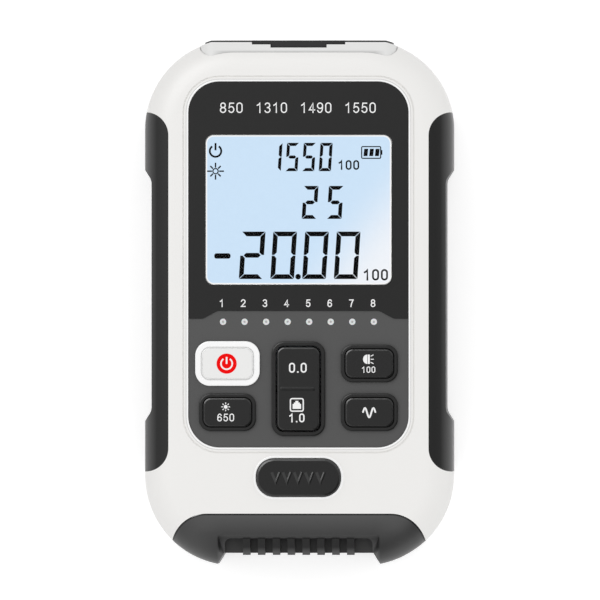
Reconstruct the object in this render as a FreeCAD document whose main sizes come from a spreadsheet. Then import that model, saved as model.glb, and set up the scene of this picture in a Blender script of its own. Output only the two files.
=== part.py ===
"""A hand-held optical power meter with a flip dust lid, a keypad and a pull-out remote unit.

Frame: X across the case, Y along it towards the port end, Z out of the screen.
The origin is the middle of the back face. All lengths are millimetres.
"""
import FreeCAD, Part
import math
import os
import re

import Sketcher
from FreeCAD import Vector

SIZES = {
    # Case
    "case_width": 73.0,
    "case_length": 124.0,
    "case_depth": 31.0,
    "corner_radius": 21.3,
    "front_round": 7.0,
    "back_round": 5.0,
    "parting_height": 15.5,
    "side_wall": 2.2,
    "back_wall": 2.2,
    "face_wall": 3.0,
    "end_wall": 2.2,
    "end_crown": 0.7,
    "foot_crown": 0.4,
    "hollow_corner": 8.0,
    "hollow_round": 4.0,
    "slip_gap": 0.15,
    "press_gap": 0.1,
    # Rubber side grips
    "grip_side": 2.8,
    "grip_face": 1.6,
    "grip_reach": 5.7,
    "grip_top_inset": 17.0,
    "grip_bottom_inset": 21.9,
    "grip_corner": 5.5,
    "waist_depth": 1.65,
    "waist_top_inset": 13.6,
    "waist_bottom_inset": 11.9,
    "waist_ramp": 2.5,
    "waist_blend": 3.0,
    # Front panel: a dark display bezel above, a grey keypad bezel below
    "panel_width": 52.2,
    "panel_top_inset": 9.7,
    "panel_bottom_inset": 27.6,
    "panel_corner": 7.4,
    "panel_depth": 1.5,
    "display_bezel_drop": 0.05,
    "keypad_bezel_drop": 0.25,
    "keypad_height": 32.34,
    "bezel_lobe": 1.85,
    "lobe_from": 19.2,
    "lobe_to": 22.6,
    "lobe_round": 2.2,
    "groove_offset": 1.0,
    "groove_width": 0.35,
    "groove_depth": 0.3,
    # Display
    "window_width": 44.1,
    "window_top_inset": 12.65,
    "window_bottom_inset": 6.21,
    "window_corner": 1.9,
    "window_ledge": 0.7,
    "lens_drop": 0.2,
    "glass_width": 47.0,
    "glass_overlap": 1.75,
    "glass_thickness": 2.2,
    "backlight_width": 44.0,
    "backlight_inset": 4.0,
    "connector_width": 2.0,
    "connector_length": 42.0,
    "connector_inset": 0.8,
    # Row of eight indicator windows
    "lamp_count": 8,
    "lamp_pitch": 5.1,
    "lamp_row_inset": 29.77,
    "lamp_radius": 0.75,
    "lamp_bar_width": 3.0,
    "lamp_bar_thickness": 1.2,
    "lamp_chip_length": 1.6,
    "lamp_chip_height": 0.8,
    # Keys
    "key_column": 16.8,
    "key_row_pitch": 11.55,
    "key_lower_inset": 8.35,
    "key_ring_width": 13.3,
    "key_ring_height": 8.7,
    "key_ring_corner": 2.7,
    "key_ring_band": 0.75,
    "power_ring_width": 15.2,
    "power_ring_height": 10.5,
    "power_ring_corner": 3.4,
    "power_ring_band": 1.25,
    "rocker_inset": 13.9,
    "rocker_ring_width": 12.5,
    "rocker_ring_height": 22.2,
    "rocker_ring_corner": 2.9,
    "rocker_ring_band": 0.85,
    "rocker_gap": 0.35,
    "rocker_pivot_radius": 0.8,
    "ring_proud": 0.45,
    "key_proud": 1.0,
    "key_edge_round": 0.5,
    "key_flange": 0.6,
    "key_flange_thickness": 0.8,
    "key_foot_side": 4.0,
    "key_foot_height": 0.6,
    "rocker_foot_offset": 6.2,
    "mat_width": 46.6,
    "mat_height": 23.8,
    "mat_inset": 2.0,
    "mat_thickness": 0.8,
    "dome_foot_radius": 3.2,
    "dome_top_radius": 2.2,
    # Circuit board
    "board_width": 48.0,
    "board_end_gap": 3.4,
    "board_tongue_gap": 0.4,
    "board_thickness": 1.6,
    "board_depth": 8.6,
    "post_radius": 2.0,
    "board_screw_radius": 0.9,
    "board_screw_head": 1.8,
    "board_screw_head_height": 1.2,
    "board_screw_length": 4.5,
    "post_upper_x": 21.6,
    "post_upper_inset": 4.5,
    "post_lower_x": 18.0,
    "post_lower_inset": 2.2,
    # Case screws
    "screw_x": 27.1,
    "screw_upper_inset": 24.0,
    "screw_lower_inset": 24.0,
    "boss_radius": 2.9,
    "well_boss_radius": 3.7,
    "screw_radius": 1.3,
    "screw_clear_radius": 1.5,
    "screw_head_radius": 2.5,
    "screw_head_height": 1.8,
    "screw_well_radius": 2.7,
    "screw_well_depth": 6.0,
    "screw_length": 14.0,
    # Port end
    "lid_proud": 0.4,
    "frame_width": 46.4,
    "frame_front_inset": 1.3,
    "frame_back": 3.0,
    "frame_corner": 3.0,
    "frame_seat": 3.2,
    "frame_step": 1.0,
    "neck_length": 6.6,
    "clamp_step": 1.0,
    "clamp_thickness": 1.4,
    "bay_opening_width": 41.0,
    "bay_opening_inset": 1.6,
    "bay_opening_back": 8.0,
    "bay_opening_corner": 3.0,
    "port_panel_set_back": 5.2,
    "port_panel_thickness": 2.0,
    "port_panel_ledge": 0.5,
    "port_drop": 5.3,
    "meter_port_x": -3.4,
    "laser_port_x": -15.4,
    "port_thread_radius": 3.5,
    "port_nose_length": 3.4,
    "port_flange_radius": 4.5,
    "port_flange_length": 1.6,
    "port_tail_radius": 3.2,
    "port_tail_length": 6.0,
    "port_nut_radius": 4.6,
    "port_nut_thickness": 1.5,
    "ferrule_radius": 1.26,
    "ferrule_depth": 7.5,
    "sensor_radius": 2.4,
    "detector_length": 3.6,
    "laser_length": 10.0,
    "torch_x": -9.4,
    "torch_inset": 3.7,
    "torch_radius": 2.5,
    "torch_length": 6.0,
    "torch_rim": 0.45,
    # Dust lid
    "lid_width": 44.6,
    "lid_front_inset": 2.1,
    "lid_back": 7.4,
    "lid_corner": 5.0,
    "lid_thickness": 1.55,
    "lid_tab_width": 13.0,
    "lid_tab_reach": 1.8,
    "lid_swing_gap": 0.6,
    "lid_shoulder_width": 21.8,
    "lid_shoulder_depth": 0.8,
    "hinge_drop": 1.25,
    "hinge_height": 5.6,
    "hinge_barrel_radius": 1.2,
    "hinge_barrel_length": 28.6,
    "hinge_pin_radius": 0.6,
    "hinge_pin_length": 35.0,
    "hinge_running_gap": 0.05,
    # Eight-way sockets
    "socket_width": 15.9,
    "socket_height": 13.4,
    "socket_depth": 15.5,
    "socket_mouth_width": 11.9,
    "socket_mouth_height": 7.2,
    "socket_mouth_floor": 1.6,
    "socket_step_width": 6.4,
    "socket_step_height": 1.5,
    "socket_slot_width": 3.6,
    "socket_slot_height": 1.3,
    "socket_mouth_depth": 13.0,
    "socket_x": 10.9,
    "contact_pitch": 1.02,
    "contact_width": 0.46,
    "contact_thickness": 0.35,
    "contact_rise": 2.2,
    "contact_set_back": 2.0,
    "contact_length": 7.0,
    # Battery bay and door
    "cell_radius": 5.25,
    "cell_length": 43.6,
    "cell_pitch": 10.8,
    "cell_button_radius": 1.9,
    "cell_button_length": 0.9,
    "cell_clearance": 0.3,
    "bay_length": 50.0,
    "bay_middle": 0.5,
    "bay_wall": 1.5,
    "door_length": 58.0,
    "door_margin": 2.1,
    "door_inset": 0.3,
    "door_thickness": 1.6,
    "door_corner": 2.5,
    "door_ledge_thickness": 1.8,
    "door_ledge_margin": 2.6,
    "hook_x": 10.5,
    "hook_width": 5.0,
    "hook_reach": 1.1,
    "hook_lift": 0.4,
    "hook_thickness": 0.9,
    "finger_radius": 6.0,
    "finger_depth": 1.3,
    "contact_plate_width": 8.0,
    "contact_plate_height": 8.0,
    "contact_plate_thickness": 0.4,
    # Remote unit at the lower end
    "remote_width": 60.2,
    "remote_length": 11.8,
    "remote_corner": 8.3,
    "bulkhead": 2.0,
    "notch_outer_width": 38.6,
    "notch_inner_width": 35.4,
    "notch_depth": 2.6,
    "scoop_reach": 6.95,
    "scoop_flare": 1.5,
    "scoop_corner": 1.0,
    "scoop_depth": 4.6,
    "back_scoop_depth": 3.4,
    "rib_count": 8,
    "rib_pitch": 3.52,
    "rib_width": 1.75,
    "rib_height": 1.5,
    "rib_start_height": 0.15,
    "rib_wrap": 3.0,
    "rib_reach": 6.1,
    "rib_overhang": 0.45,
    "rib_well_margin": 0.2,
    "rib_well_corner": 1.4,
    "rib_well_depth": 2.0,
    "rib_well_wall": 1.6,
    "sleeve_width": 40.0,
    "sleeve_rise": 1.8,
    "sleeve_back": 4.6,
    "sleeve_corner": 2.0,
    "sleeve_reach": 8.3,
    "sleeve_wall": 1.8,
    "sleeve_gap": 0.2,
    "remote_hollow_width": 41.0,
    "remote_hollow_wall": 4.6,
    "remote_jack_back": 7.6,
    "remote_end_wall": 2.0,
    "tongue_width": 11.0,
    "tongue_thickness": 1.4,
    "tongue_length": 4.8,
    "catch_width": 7.0,
    "catch_length": 2.1,
    "catch_inset": 1.2,
    "remote_board_thickness": 1.2,
    "remote_screw_x": 23.5,
    "remote_screw_inset": 8.0,
    "remote_screw_radius": 1.0,
    "remote_screw_head": 1.9,
    "remote_screw_head_height": 1.2,
    "remote_screw_well_radius": 2.1,
    "remote_screw_well_depth": 4.0,
    "remote_screw_length": 16.0,
    # Release button and the latch spring under it
    "release_inset": 20.5,
    "release_width": 19.9,
    "release_height": 8.9,
    "release_corner": 4.2,
    "release_proud": 0.7,
    "release_edge_round": 0.6,
    "release_flange": 1.2,
    "release_flange_thickness": 1.3,
    "release_leg_x": 7.0,
    "release_leg_width": 2.0,
    "release_leg_length": 1.6,
    "release_leg_inset": 0.9,
    "latch_thickness": 0.4,
    "latch_width": 16.4,
    "latch_length": 9.5,
    "latch_gap": 0.5,
    "latch_nose_width": 5.0,
    "latch_nose_length": 1.4,
    "latch_nose_rise": 1.5,
}

# Places worked out from the sizes: the ends and faces of the case, and what lines up with them
PLACES = {
    "end_face": "case_length / 2 - lid_proud",
    "face_under": "case_depth - face_wall",
    "panel_floor": "case_depth - panel_depth",
    "keypad_top": "case_depth - keypad_bezel_drop",
    "board_height": "case_depth - board_depth",
    "board_front": "board_height + board_thickness",
    # Grips
    "grip_top": "case_length / 2 - grip_top_inset",
    "grip_bottom": "case_length / 2 - grip_bottom_inset",
    "waist_top": "grip_top - waist_top_inset",
    "waist_bottom": "grip_bottom - waist_bottom_inset",
    # Front panel, from its own ends: the display takes what the keypad leaves
    "panel_top": "case_length / 2 - panel_top_inset",
    "panel_bottom": "case_length / 2 - panel_bottom_inset",
    "split_side": "panel_width / 2 + panel_corner",
    "bezel_split": "panel_bottom - keypad_height",
    "lamp_row": "panel_bottom - lamp_row_inset",
    "window_top": "panel_top - window_top_inset",
    "window_bottom": "window_bottom_inset - bezel_split",
    "window_height": "window_top - window_bottom",
    "window_middle": "(window_top + window_bottom) / 2",
    "glass_height": "window_height + 2 * glass_overlap",
    "glass_back": "face_under - glass_thickness",
    "backlight_height": "glass_height - 2 * backlight_inset",
    "key_lower_row": "panel_bottom - key_lower_inset",
    "key_upper_row": "key_lower_row - key_row_pitch",
    "rocker_middle": "panel_bottom - rocker_inset",
    "key_flange_top": "face_under - press_gap",
    "key_foot": "key_flange_top - key_flange_thickness - key_foot_height",
    "mat_bottom": "panel_bottom - mat_inset",
    "mat_top": "mat_bottom - mat_height",
    # Port end
    "frame_shoulder": "end_face - frame_seat",
    "frame_front": "case_depth - frame_front_inset",
    "lid_front": "frame_front - lid_front_inset",
    "lid_back_face": "case_length / 2 - lid_thickness",
    "hinge_line": "end_face - hinge_drop",
    "bay_opening_front": "lid_front - bay_opening_inset",
    "port_panel_front": "end_face - port_panel_set_back",
    "port_panel_back": "port_panel_front - port_panel_thickness",
    "torch_height": "bay_opening_front - torch_inset",
    "port_height": "torch_height - port_drop",
    "port_nose": "port_panel_front + port_nose_length",
    "ferrule_stop": "port_nose - ferrule_depth",
    "port_flange_back": "port_panel_back - port_flange_length",
    "port_tail": "port_flange_back - port_tail_length",
    # Battery bay
    "bay_width": "3 * cell_pitch + 2 * cell_clearance",
    "bay_top": "door_inset + door_thickness + 2 * cell_clearance + 2 * cell_radius",
    "cell_height": "door_inset + door_thickness + cell_clearance + cell_radius",
    "spring_gap": "bay_length - 2 * contact_plate_thickness - cell_length - cell_button_length",
    "door_width": "bay_width + 2 * door_margin",
    "door_hinge_line": "bay_middle + door_length / 2 - door_thickness / 2",
    "hook_low": "door_inset + door_thickness / 2 + hook_lift",
    # Remote unit, and the latch that holds its tongue
    "remote_shoulder": "case_length / 2 - remote_length",
    "notch_floor": "case_length / 2 - notch_depth",
    "scoop_top": "case_length / 2 - scoop_reach",
    "scoop_length": "notch_floor - scoop_top",
    "rib_start": "case_length / 2 - rib_reach",
    "rib_foot": "case_depth - scoop_depth * (rib_start - scoop_top) / scoop_length",
    "rib_well_floor": "case_depth - scoop_depth - rib_well_depth",
    "remote_screw_y": "case_length / 2 - remote_screw_inset",
    "sleeve_front": "board_height + sleeve_rise",
    "sleeve_end": "remote_shoulder - sleeve_reach",
    "tongue_end": "sleeve_end - tongue_length",
    "catch_far": "sleeve_end - catch_inset",
    "catch_near": "catch_far - catch_length",
    "latch_tip": "catch_far - latch_gap",
    "latch_root": "latch_tip - latch_length",
    "release_middle": "case_length / 2 - release_inset",
    "release_leg_middle": "latch_tip - release_leg_inset",
    # Circuit board and the screws, from what is nearest
    "board_top": "port_panel_back - board_end_gap",
    "board_bottom": "tongue_end - board_tongue_gap",
    "post_upper_y": "board_top - post_upper_inset",
    "post_lower_y": "board_bottom - post_lower_inset",
    "screw_upper_y": "case_length / 2 - screw_upper_inset",
    "screw_lower_y": "case_length / 2 - screw_lower_inset",
}

doc = FreeCAD.newDocument("power_meter")
sheet = doc.addObject("Spreadsheet::Sheet", "Sizes")
for row, (cell_name, cell_value) in enumerate([*SIZES.items(), *PLACES.items()], start=1):
    sheet.set(f"A{row}", cell_name)
    sheet.set(f"B{row}", f"={cell_value}")
    sheet.setAlias(f"B{row}", cell_name)
doc.recompute()

# The piece's own plane for each direction that it is drawn from, and whether the plane looks along it
PLANES = {"X": ("YZ_Plane", 1), "Y": ("XZ_Plane", -1), "Z": ("XY_Plane", 1)}
nodes = []


def linked(text):
    """The expression with its names pointing into the spreadsheet."""
    return re.sub(r"[a-z][a-z_]+", r"Sizes.\g<0>", text)


def number(text):
    """The present value of an expression, to draw a first guess from."""
    return float(sheet.evalExpression(linked(text)))


def rectangle(width, height, corner="0", middle_x="0", middle_y="0"):
    """Four corners of a rounded rectangle."""
    return [
        (f"{middle_x} + ({side_x}) * ({width}) / 2", f"{middle_y} + ({side_y}) * ({height}) / 2", corner)
        for side_x, side_y in ((-1, -1), (1, -1), (1, 1), (-1, 1))
    ]


def between(left, low, right, high, corner="0"):
    """Four corners of a rounded rectangle from its edges."""
    return [(left, low, corner), (right, low, corner), (right, high, corner), (left, high, corner)]


def hold(sketch, kind, *where_and_value):
    """Adds a driving constraint whose value follows the sizes."""
    *where, value = where_and_value
    name = f"{kind}{sketch.ConstraintCount}"
    index = sketch.addConstraint(Sketcher.Constraint(kind, *where, number(value)))
    sketch.renameConstraint(index, name)
    sketch.setExpression(f"Constraints.{name}", linked(value))


def draw_circle(sketch, x, y, radius):
    """Draws a circle held by the sizes."""
    centre = Vector(number(x), number(y), 0)
    circle = sketch.addGeometry(Part.Circle(centre, Vector(0, 0, 1), number(radius)), False)
    hold(sketch, "Radius", circle, radius)
    hold(sketch, "DistanceX", -1, 1, circle, 3, x)
    hold(sketch, "DistanceY", -1, 1, circle, 3, y)


def draw_outline(sketch, corners):
    """Draws a closed outline: straight sides, and an arc at each corner that has a radius."""
    places = [Vector(number(x), number(y), 0) for x, y, _ in corners]
    radii = [number(radius) for _, _, radius in corners]
    trims = []
    for index, place in enumerate(places):
        back = (places[index - 1] - place).normalize()
        ahead = (places[(index + 1) % len(places)] - place).normalize()
        half_turn = back.getAngle(ahead) / 2
        trims.append((back, ahead, half_turn, radii[index] / math.tan(half_turn)))
    sides = []
    for index, place in enumerate(places):
        after = (index + 1) % len(places)
        start = place + trims[index][1] * trims[index][3]
        end = places[after] + trims[after][0] * trims[after][3]
        sides.append(sketch.addGeometry(Part.LineSegment(start, end), False))
    for index, (place, (back, ahead, half_turn, trim)) in enumerate(zip(places, trims)):
        x, y, radius = corners[index]
        before, side = sides[index - 1], sides[index]
        if radii[index] == 0:
            sketch.addConstraint(Sketcher.Constraint("Coincident", before, 2, side, 1))
            hold(sketch, "DistanceX", -1, 1, side, 1, x)
            hold(sketch, "DistanceY", -1, 1, side, 1, y)
            continue
        centre = place + (back + ahead).normalize() * (radii[index] / math.sin(half_turn))
        ends = [place + way * trim - centre for way in (back, ahead)]
        turns_left = back.cross(ahead).z < 0
        first, last = ends if turns_left else reversed(ends)
        start_angle = math.atan2(first.y, first.x)
        end_angle = math.atan2(last.y, last.x)
        if end_angle < start_angle:
            end_angle += 2 * math.pi
        circle = Part.Circle(centre, Vector(0, 0, 1), radii[index])
        arc = sketch.addGeometry(Part.ArcOfCircle(circle, start_angle, end_angle), False)
        corner = sketch.addGeometry(Part.Point(place), True)
        sketch.addConstraint(Sketcher.Constraint("Tangent", before, 2, arc, 1 if turns_left else 2))
        sketch.addConstraint(Sketcher.Constraint("Tangent", side, 1, arc, 2 if turns_left else 1))
        sketch.addConstraint(Sketcher.Constraint("PointOnObject", corner, 1, before))
        sketch.addConstraint(Sketcher.Constraint("PointOnObject", corner, 1, side))
        hold(sketch, "Radius", arc, radius)
        hold(sketch, "DistanceX", -1, 1, corner, 1, x)
        hold(sketch, "DistanceY", -1, 1, corner, 1, y)


def start_body(label):
    """An empty body that pads and pockets are added to."""
    body = doc.addObject("PartDesign::Body", label)
    body.AllowCompound = True
    return body


def drawn_on(body, along, level, outlines):
    """A sketch of circles and outlines, square to a direction and at a level on it."""
    plane_name, looks_along = PLANES[along]
    plane = [feature for feature in body.Origin.OriginFeatures if feature.Role == plane_name][0]
    sketch = body.newObject("Sketcher::SketchObject", "outline")
    sketch.AttachmentSupport = [(plane, "")]
    sketch.MapMode = "FlatFace"
    sketch.setExpression("AttachmentOffset.Base.z", linked(f"{looks_along} * ({level})"))
    for outline in outlines:
        if isinstance(outline, tuple):
            draw_circle(sketch, *outline)
        else:
            draw_outline(sketch, outline)
    return sketch


def pad(body, along, level, height, *outlines):
    """Adds a prism that rises from a level along a direction."""
    sketch = drawn_on(body, along, level, outlines)
    feature = body.newObject("PartDesign::Pad", "pad")
    feature.Profile = sketch
    feature.Reversed = PLANES[along][1] < 0
    feature.setExpression("Length", linked(height))
    doc.recompute()


def pocket(body, along, level, height, *outlines):
    """Takes a prism away that rises from a level along a direction."""
    sketch = drawn_on(body, along, level, outlines)
    feature = body.newObject("PartDesign::Pocket", "pocket")
    feature.Profile = sketch
    feature.Reversed = PLANES[along][1] > 0
    feature.setExpression("Length", linked(height))
    doc.recompute()


def spin(body, middle_x, middle_z, corners):
    """Adds a turned form about a line along Y; each corner is a radius and a place on Y."""
    plane = [feature for feature in body.Origin.OriginFeatures if feature.Role == "XY_Plane"][0]
    sketch = body.newObject("Sketcher::SketchObject", "outline")
    sketch.AttachmentSupport = [(plane, "")]
    sketch.MapMode = "FlatFace"
    sketch.setExpression("AttachmentOffset.Base.x", linked(middle_x))
    sketch.setExpression("AttachmentOffset.Base.z", linked(middle_z))
    draw_outline(sketch, corners)
    feature = body.newObject("PartDesign::Revolution", "turned")
    feature.Profile = sketch
    feature.ReferenceAxis = (sketch, ["V_Axis"])
    feature.Angle = 360
    doc.recompute()


def round_edges(body, radius, along, level):
    """Rounds every edge that lies at a level along a direction."""
    rounded = body.Tip
    place = number(level)
    names = []
    for index, edge in enumerate(rounded.Shape.Edges, start=1):
        box = edge.BoundBox
        low, high = getattr(box, f"{along}Min"), getattr(box, f"{along}Max")
        if abs(low - place) < 0.001 and abs(high - place) < 0.001:
            names.append(f"Edge{index}")
    feature = body.newObject("PartDesign::Fillet", "rounding")
    feature.Base = (rounded, names)
    feature.setExpression("Radius", linked(radius))
    doc.recompute()


def fused(label, *pieces):
    """One piece from several."""
    joined = doc.addObject("Part::MultiFuse", label)
    joined.Shapes = pieces
    doc.recompute()
    return joined


def cut(label, base, *tools):
    """A piece with others taken away from it."""
    rest = doc.addObject("Part::Cut", label)
    rest.Base = base
    rest.Tool = tools[0] if len(tools) == 1 else fused(f"{label}_tools", *tools)
    doc.recompute()
    return rest


def common(label, *pieces):
    """What several pieces share."""
    shared = doc.addObject("Part::MultiCommon", label)
    shared.Shapes = pieces
    doc.recompute()
    return shared


def mirrored(label, piece):
    """The same piece on the other side of the case."""
    image = doc.addObject("Part::Mirroring", label)
    image.Source = piece
    image.Normal = Vector(1, 0, 0)
    doc.recompute()
    return image


def keep(piece, label):
    """Names a finished piece."""
    piece.Label = label
    nodes.append(piece)
    return piece


def case_outline(offset):
    """The case seen from above, with both ends still crowned, grown by the offset."""
    return between(
        f"-(case_width / 2 + {offset})", f"-(case_length / 2 + foot_crown + {offset})",
        f"case_width / 2 + {offset}", f"end_face + end_crown + {offset}", f"corner_radius + {offset}")


# ---- Case form: the outside of the whole meter before it is split up ----
case_form = start_body("case_form")
pad(case_form, "Z", "0", "case_depth", case_outline("0"))
round_edges(case_form, "front_round", "Z", "case_depth")
round_edges(case_form, "back_round", "Z", "0")
pocket(case_form, "Y", "end_face", "2 * end_crown", rectangle(
    "2 * case_width", "2 * case_depth", "0", "0", "case_depth / 2"))

# ---- Rubber grips: they fill seats sunk into both sides ----
core_form = start_body("core_form")
pad(core_form, "Z", "grip_face", "case_depth - 2 * grip_face", rectangle(
    "case_width - 2 * grip_side", "case_length - 2 * grip_side", "corner_radius - grip_side"))
round_edges(core_form, "front_round - grip_face", "Z", "case_depth - grip_face")
round_edges(core_form, "back_round - grip_face", "Z", "grip_face")

grip_reach = start_body("grip_reach")
pad(grip_reach, "Z", "-grip_face", "case_depth + 2 * grip_face", [
    ("case_width / 2 - grip_reach", "-grip_bottom", "grip_corner"),
    ("case_width / 2 + grip_reach", "-grip_bottom", "0"),
    ("case_width / 2 + grip_reach", "grip_top", "0"),
    ("case_width / 2 - grip_reach", "grip_top", "grip_corner"),
])
right_seat = cut("right_seat", grip_reach, core_form)
left_seat = mirrored("left_seat", right_seat)

waist = start_body("waist")
pad(waist, "Z", "-grip_face", "case_depth + 2 * grip_face", [
    ("case_width / 2", "-waist_bottom", "0"),
    ("case_width / 2 + grip_reach", "-waist_bottom", "0"),
    ("case_width / 2 + grip_reach", "waist_top", "0"),
    ("case_width / 2", "waist_top", "0"),
    ("case_width / 2 - waist_depth", "waist_top - waist_ramp", "waist_blend"),
    ("case_width / 2 - waist_depth", "waist_ramp - waist_bottom", "waist_blend"),
])
right_grip = keep(cut("right_grip", common("right_grip_form", case_form, right_seat), waist), "right_grip")
left_grip = keep(mirrored("left_grip", right_grip), "left_grip")

# ---- Space inside the case, the lower end that the remote unit takes, and what passes the end walls ----
hollow_plan = start_body("hollow_plan")
pad(hollow_plan, "Z", "0", "case_depth", between(
    "grip_side + side_wall - case_width / 2", "bulkhead - remote_shoulder",
    "case_width / 2 - grip_side - side_wall", "frame_shoulder - end_wall", "hollow_corner"))
hollow_section = start_body("hollow_section")
pad(hollow_section, "Y", "-case_length / 2", "case_length", between(
    "grip_side + side_wall - case_width / 2", "back_wall",
    "case_width / 2 - grip_side - side_wall", "face_under", "hollow_round"))
hollow = common("hollow", hollow_plan, hollow_section)

remote_bay = start_body("remote_bay")
pad(remote_bay, "Z", "-case_depth", "3 * case_depth", between(
    "-(remote_width / 2 + slip_gap)", "-case_length", "remote_width / 2 + slip_gap",
    "slip_gap - remote_shoulder", "remote_corner + slip_gap"))
sleeve_way = start_body("sleeve_way")
pad(sleeve_way, "Y", "-remote_shoulder - bulkhead", "3 * bulkhead", between(
    "-(sleeve_width / 2 + sleeve_gap)", "sleeve_back - sleeve_gap",
    "sleeve_width / 2 + sleeve_gap", "sleeve_front + sleeve_gap", "sleeve_corner + sleeve_gap"))

frame_way = start_body("frame_way")
pad(frame_way, "Y", "frame_shoulder", "frame_seat + lid_proud", between(
    "-(frame_width / 2 + slip_gap)", "frame_back - slip_gap", "frame_width / 2 + slip_gap",
    "frame_front + slip_gap", "frame_corner + slip_gap"))
pad(frame_way, "Y", "frame_shoulder - neck_length - slip_gap", "neck_length + slip_gap", between(
    "frame_step - frame_width / 2 - slip_gap", "frame_back + frame_step - slip_gap",
    "frame_width / 2 - frame_step + slip_gap", "frame_front - 2 * frame_step + slip_gap",
    "frame_corner - frame_step + slip_gap"))
pad(frame_way, "Y", "frame_shoulder - end_wall - clamp_thickness - slip_gap",
    "clamp_thickness + slip_gap", between(
    "frame_step - clamp_step - frame_width / 2 - slip_gap", "frame_back + frame_step - clamp_step - slip_gap",
    "frame_width / 2 - frame_step + clamp_step + slip_gap",
    "frame_front - 2 * frame_step + clamp_step + slip_gap", "frame_corner + slip_gap"))

above_parting = start_body("above_parting")
pad(above_parting, "Z", "parting_height", "case_depth", rectangle("2 * case_width", "2 * case_length"))
below_parting = start_body("below_parting")
pad(below_parting, "Z", "parting_height - case_depth", "case_depth",
    rectangle("2 * case_width", "2 * case_length"))
case_block = cut("case_block", case_form, right_seat, left_seat, hollow, remote_bay, sleeve_way, frame_way)

# ---- Front shell: key collars, screw bosses and board posts under the face ----
KEYS = {
    "power_key": ("-key_column", "-key_upper_row", "power_ring"),
    "laser_key": ("-key_column", "-key_lower_row", "key_ring"),
    "reference_key": ("0", "-rocker_middle", "rocker_ring"),
    "lamp_key": ("key_column", "-key_upper_row", "key_ring"),
    "wavelength_key": ("key_column", "-key_lower_row", "key_ring"),
}
LAMPS = [f"({step} - (lamp_count - 1) / 2) * lamp_pitch" for step in range(SIZES["lamp_count"])]
POSTS = [(f"{side} * post_{row}_x", f"{sense} * post_{row}_y")
         for side in (-1, 1) for row, sense in (("upper", 1), ("lower", -1))]
SCREWS = [(f"{side} * screw_x", f"{sense} * screw_{row}_y")
          for side in (-1, 1) for row, sense in (("upper", 1), ("lower", -1))]


def key_outline(name, inset):
    """A key's ring outline, moved inwards."""
    x, y, ring = KEYS[name]
    return rectangle(f"({ring}_width - 2 * ({inset}))", f"({ring}_height - 2 * ({inset}))",
                     f"({ring}_corner - ({inset}))", x, y)


def panel_outline(offset):
    """The outline of the front panel, moved outwards."""
    return between(f"-(panel_width / 2 + {offset})", f"-(panel_bottom + {offset})",
                   f"panel_width / 2 + {offset}", f"panel_top + {offset}", f"panel_corner + {offset}")


def release_outline(offset):
    """The outline of the release button, moved outwards."""
    return rectangle(f"(release_width + 2 * ({offset}))", f"(release_height + 2 * ({offset}))",
                     f"release_corner + {offset}", "0", "-release_middle")


panel_recess = start_body("panel_recess")
pad(panel_recess, "Z", "panel_floor", "2 * panel_depth", panel_outline("0"))
panel_groove = start_body("panel_groove")
pad(panel_groove, "Z", "case_depth - groove_depth", "2 * groove_depth",
    panel_outline("groove_offset + groove_width"))
pocket(panel_groove, "Z", "case_depth - groove_depth", "2 * groove_depth", panel_outline("groove_offset"))
front_blank = cut("front_blank", case_block, below_parting, panel_recess, panel_groove)

front_posts = start_body("front_posts")
pad(front_posts, "Z", "parting_height", "face_under - parting_height",
    *[(x, y, "boss_radius") for x, y in SCREWS])
pad(front_posts, "Z", "board_front", "face_under - board_front",
    *[(x, y, "post_radius") for x, y in POSTS])
pad(front_posts, "Z", "panel_floor", "panel_depth + ring_proud", *[key_outline(name, "0") for name in KEYS])

front_holes = start_body("front_holes")
pad(front_holes, "Z", "face_under", "face_wall", rectangle(
    "window_width - 2 * window_ledge", "window_height - 2 * window_ledge", "window_corner - window_ledge",
    "0", "window_middle"))
for key_name, (_, _, ring_name) in KEYS.items():
    pad(front_holes, "Z", "face_under", "2 * face_wall", key_outline(key_name, f"{ring_name}_band"))
pad(front_holes, "Z", "face_under", "2 * face_wall", release_outline("slip_gap"))
pad(front_holes, "Z", "face_under", "face_wall", *[(x, "-lamp_row", "lamp_radius") for x in LAMPS])
pad(front_holes, "Z", "parting_height", "screw_length - parting_height + screw_well_depth + slip_gap",
    *[(x, y, "screw_radius") for x, y in SCREWS])
pad(front_holes, "Z", "board_front", "board_screw_length - board_thickness + slip_gap",
    *[(x, y, "board_screw_radius") for x, y in POSTS])
front_form = fused("front_form", front_blank, front_posts)
front_shell = keep(cut("front_shell", front_form, front_holes), "front_shell")

# ---- Back shell: screw bosses and the battery bay ----
back_blank = cut("back_blank", case_block, above_parting)
back_posts = start_body("back_posts")
pad(back_posts, "Z", "back_wall / 2", "parting_height - back_wall / 2",
    *[(x, y, "boss_radius") for x, y in SCREWS])
pad(back_posts, "Z", "back_wall / 2", "screw_well_depth + screw_head_height - back_wall / 2",
    *[(x, y, "well_boss_radius") for x, y in SCREWS])
pad(back_posts, "Z", "back_wall / 2", "bay_top + bay_wall - back_wall / 2", rectangle(
    "(bay_width + 2 * bay_wall)", "(bay_length + 2 * bay_wall)", "bay_wall", "0", "bay_middle"))
pad(back_posts, "Z", "back_wall / 2", "door_inset + door_thickness + door_ledge_thickness - back_wall / 2",
    rectangle("(door_width + 2 * door_ledge_margin)", "(door_length + 2 * door_ledge_margin)",
              "door_corner", "0", "bay_middle"))


def door_outline(offset, hinge_end):
    """The outline of the battery door, moved outwards, with its own place for the hinge end."""
    side = f"(door_width / 2 + {offset})"
    low = f"bay_middle - door_length / 2 - ({offset})"
    return [(f"-{side}", low, f"door_corner + {offset}"), (side, low, f"door_corner + {offset}"),
            (side, hinge_end, "0"), (f"-{side}", hinge_end, "0")]


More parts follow.
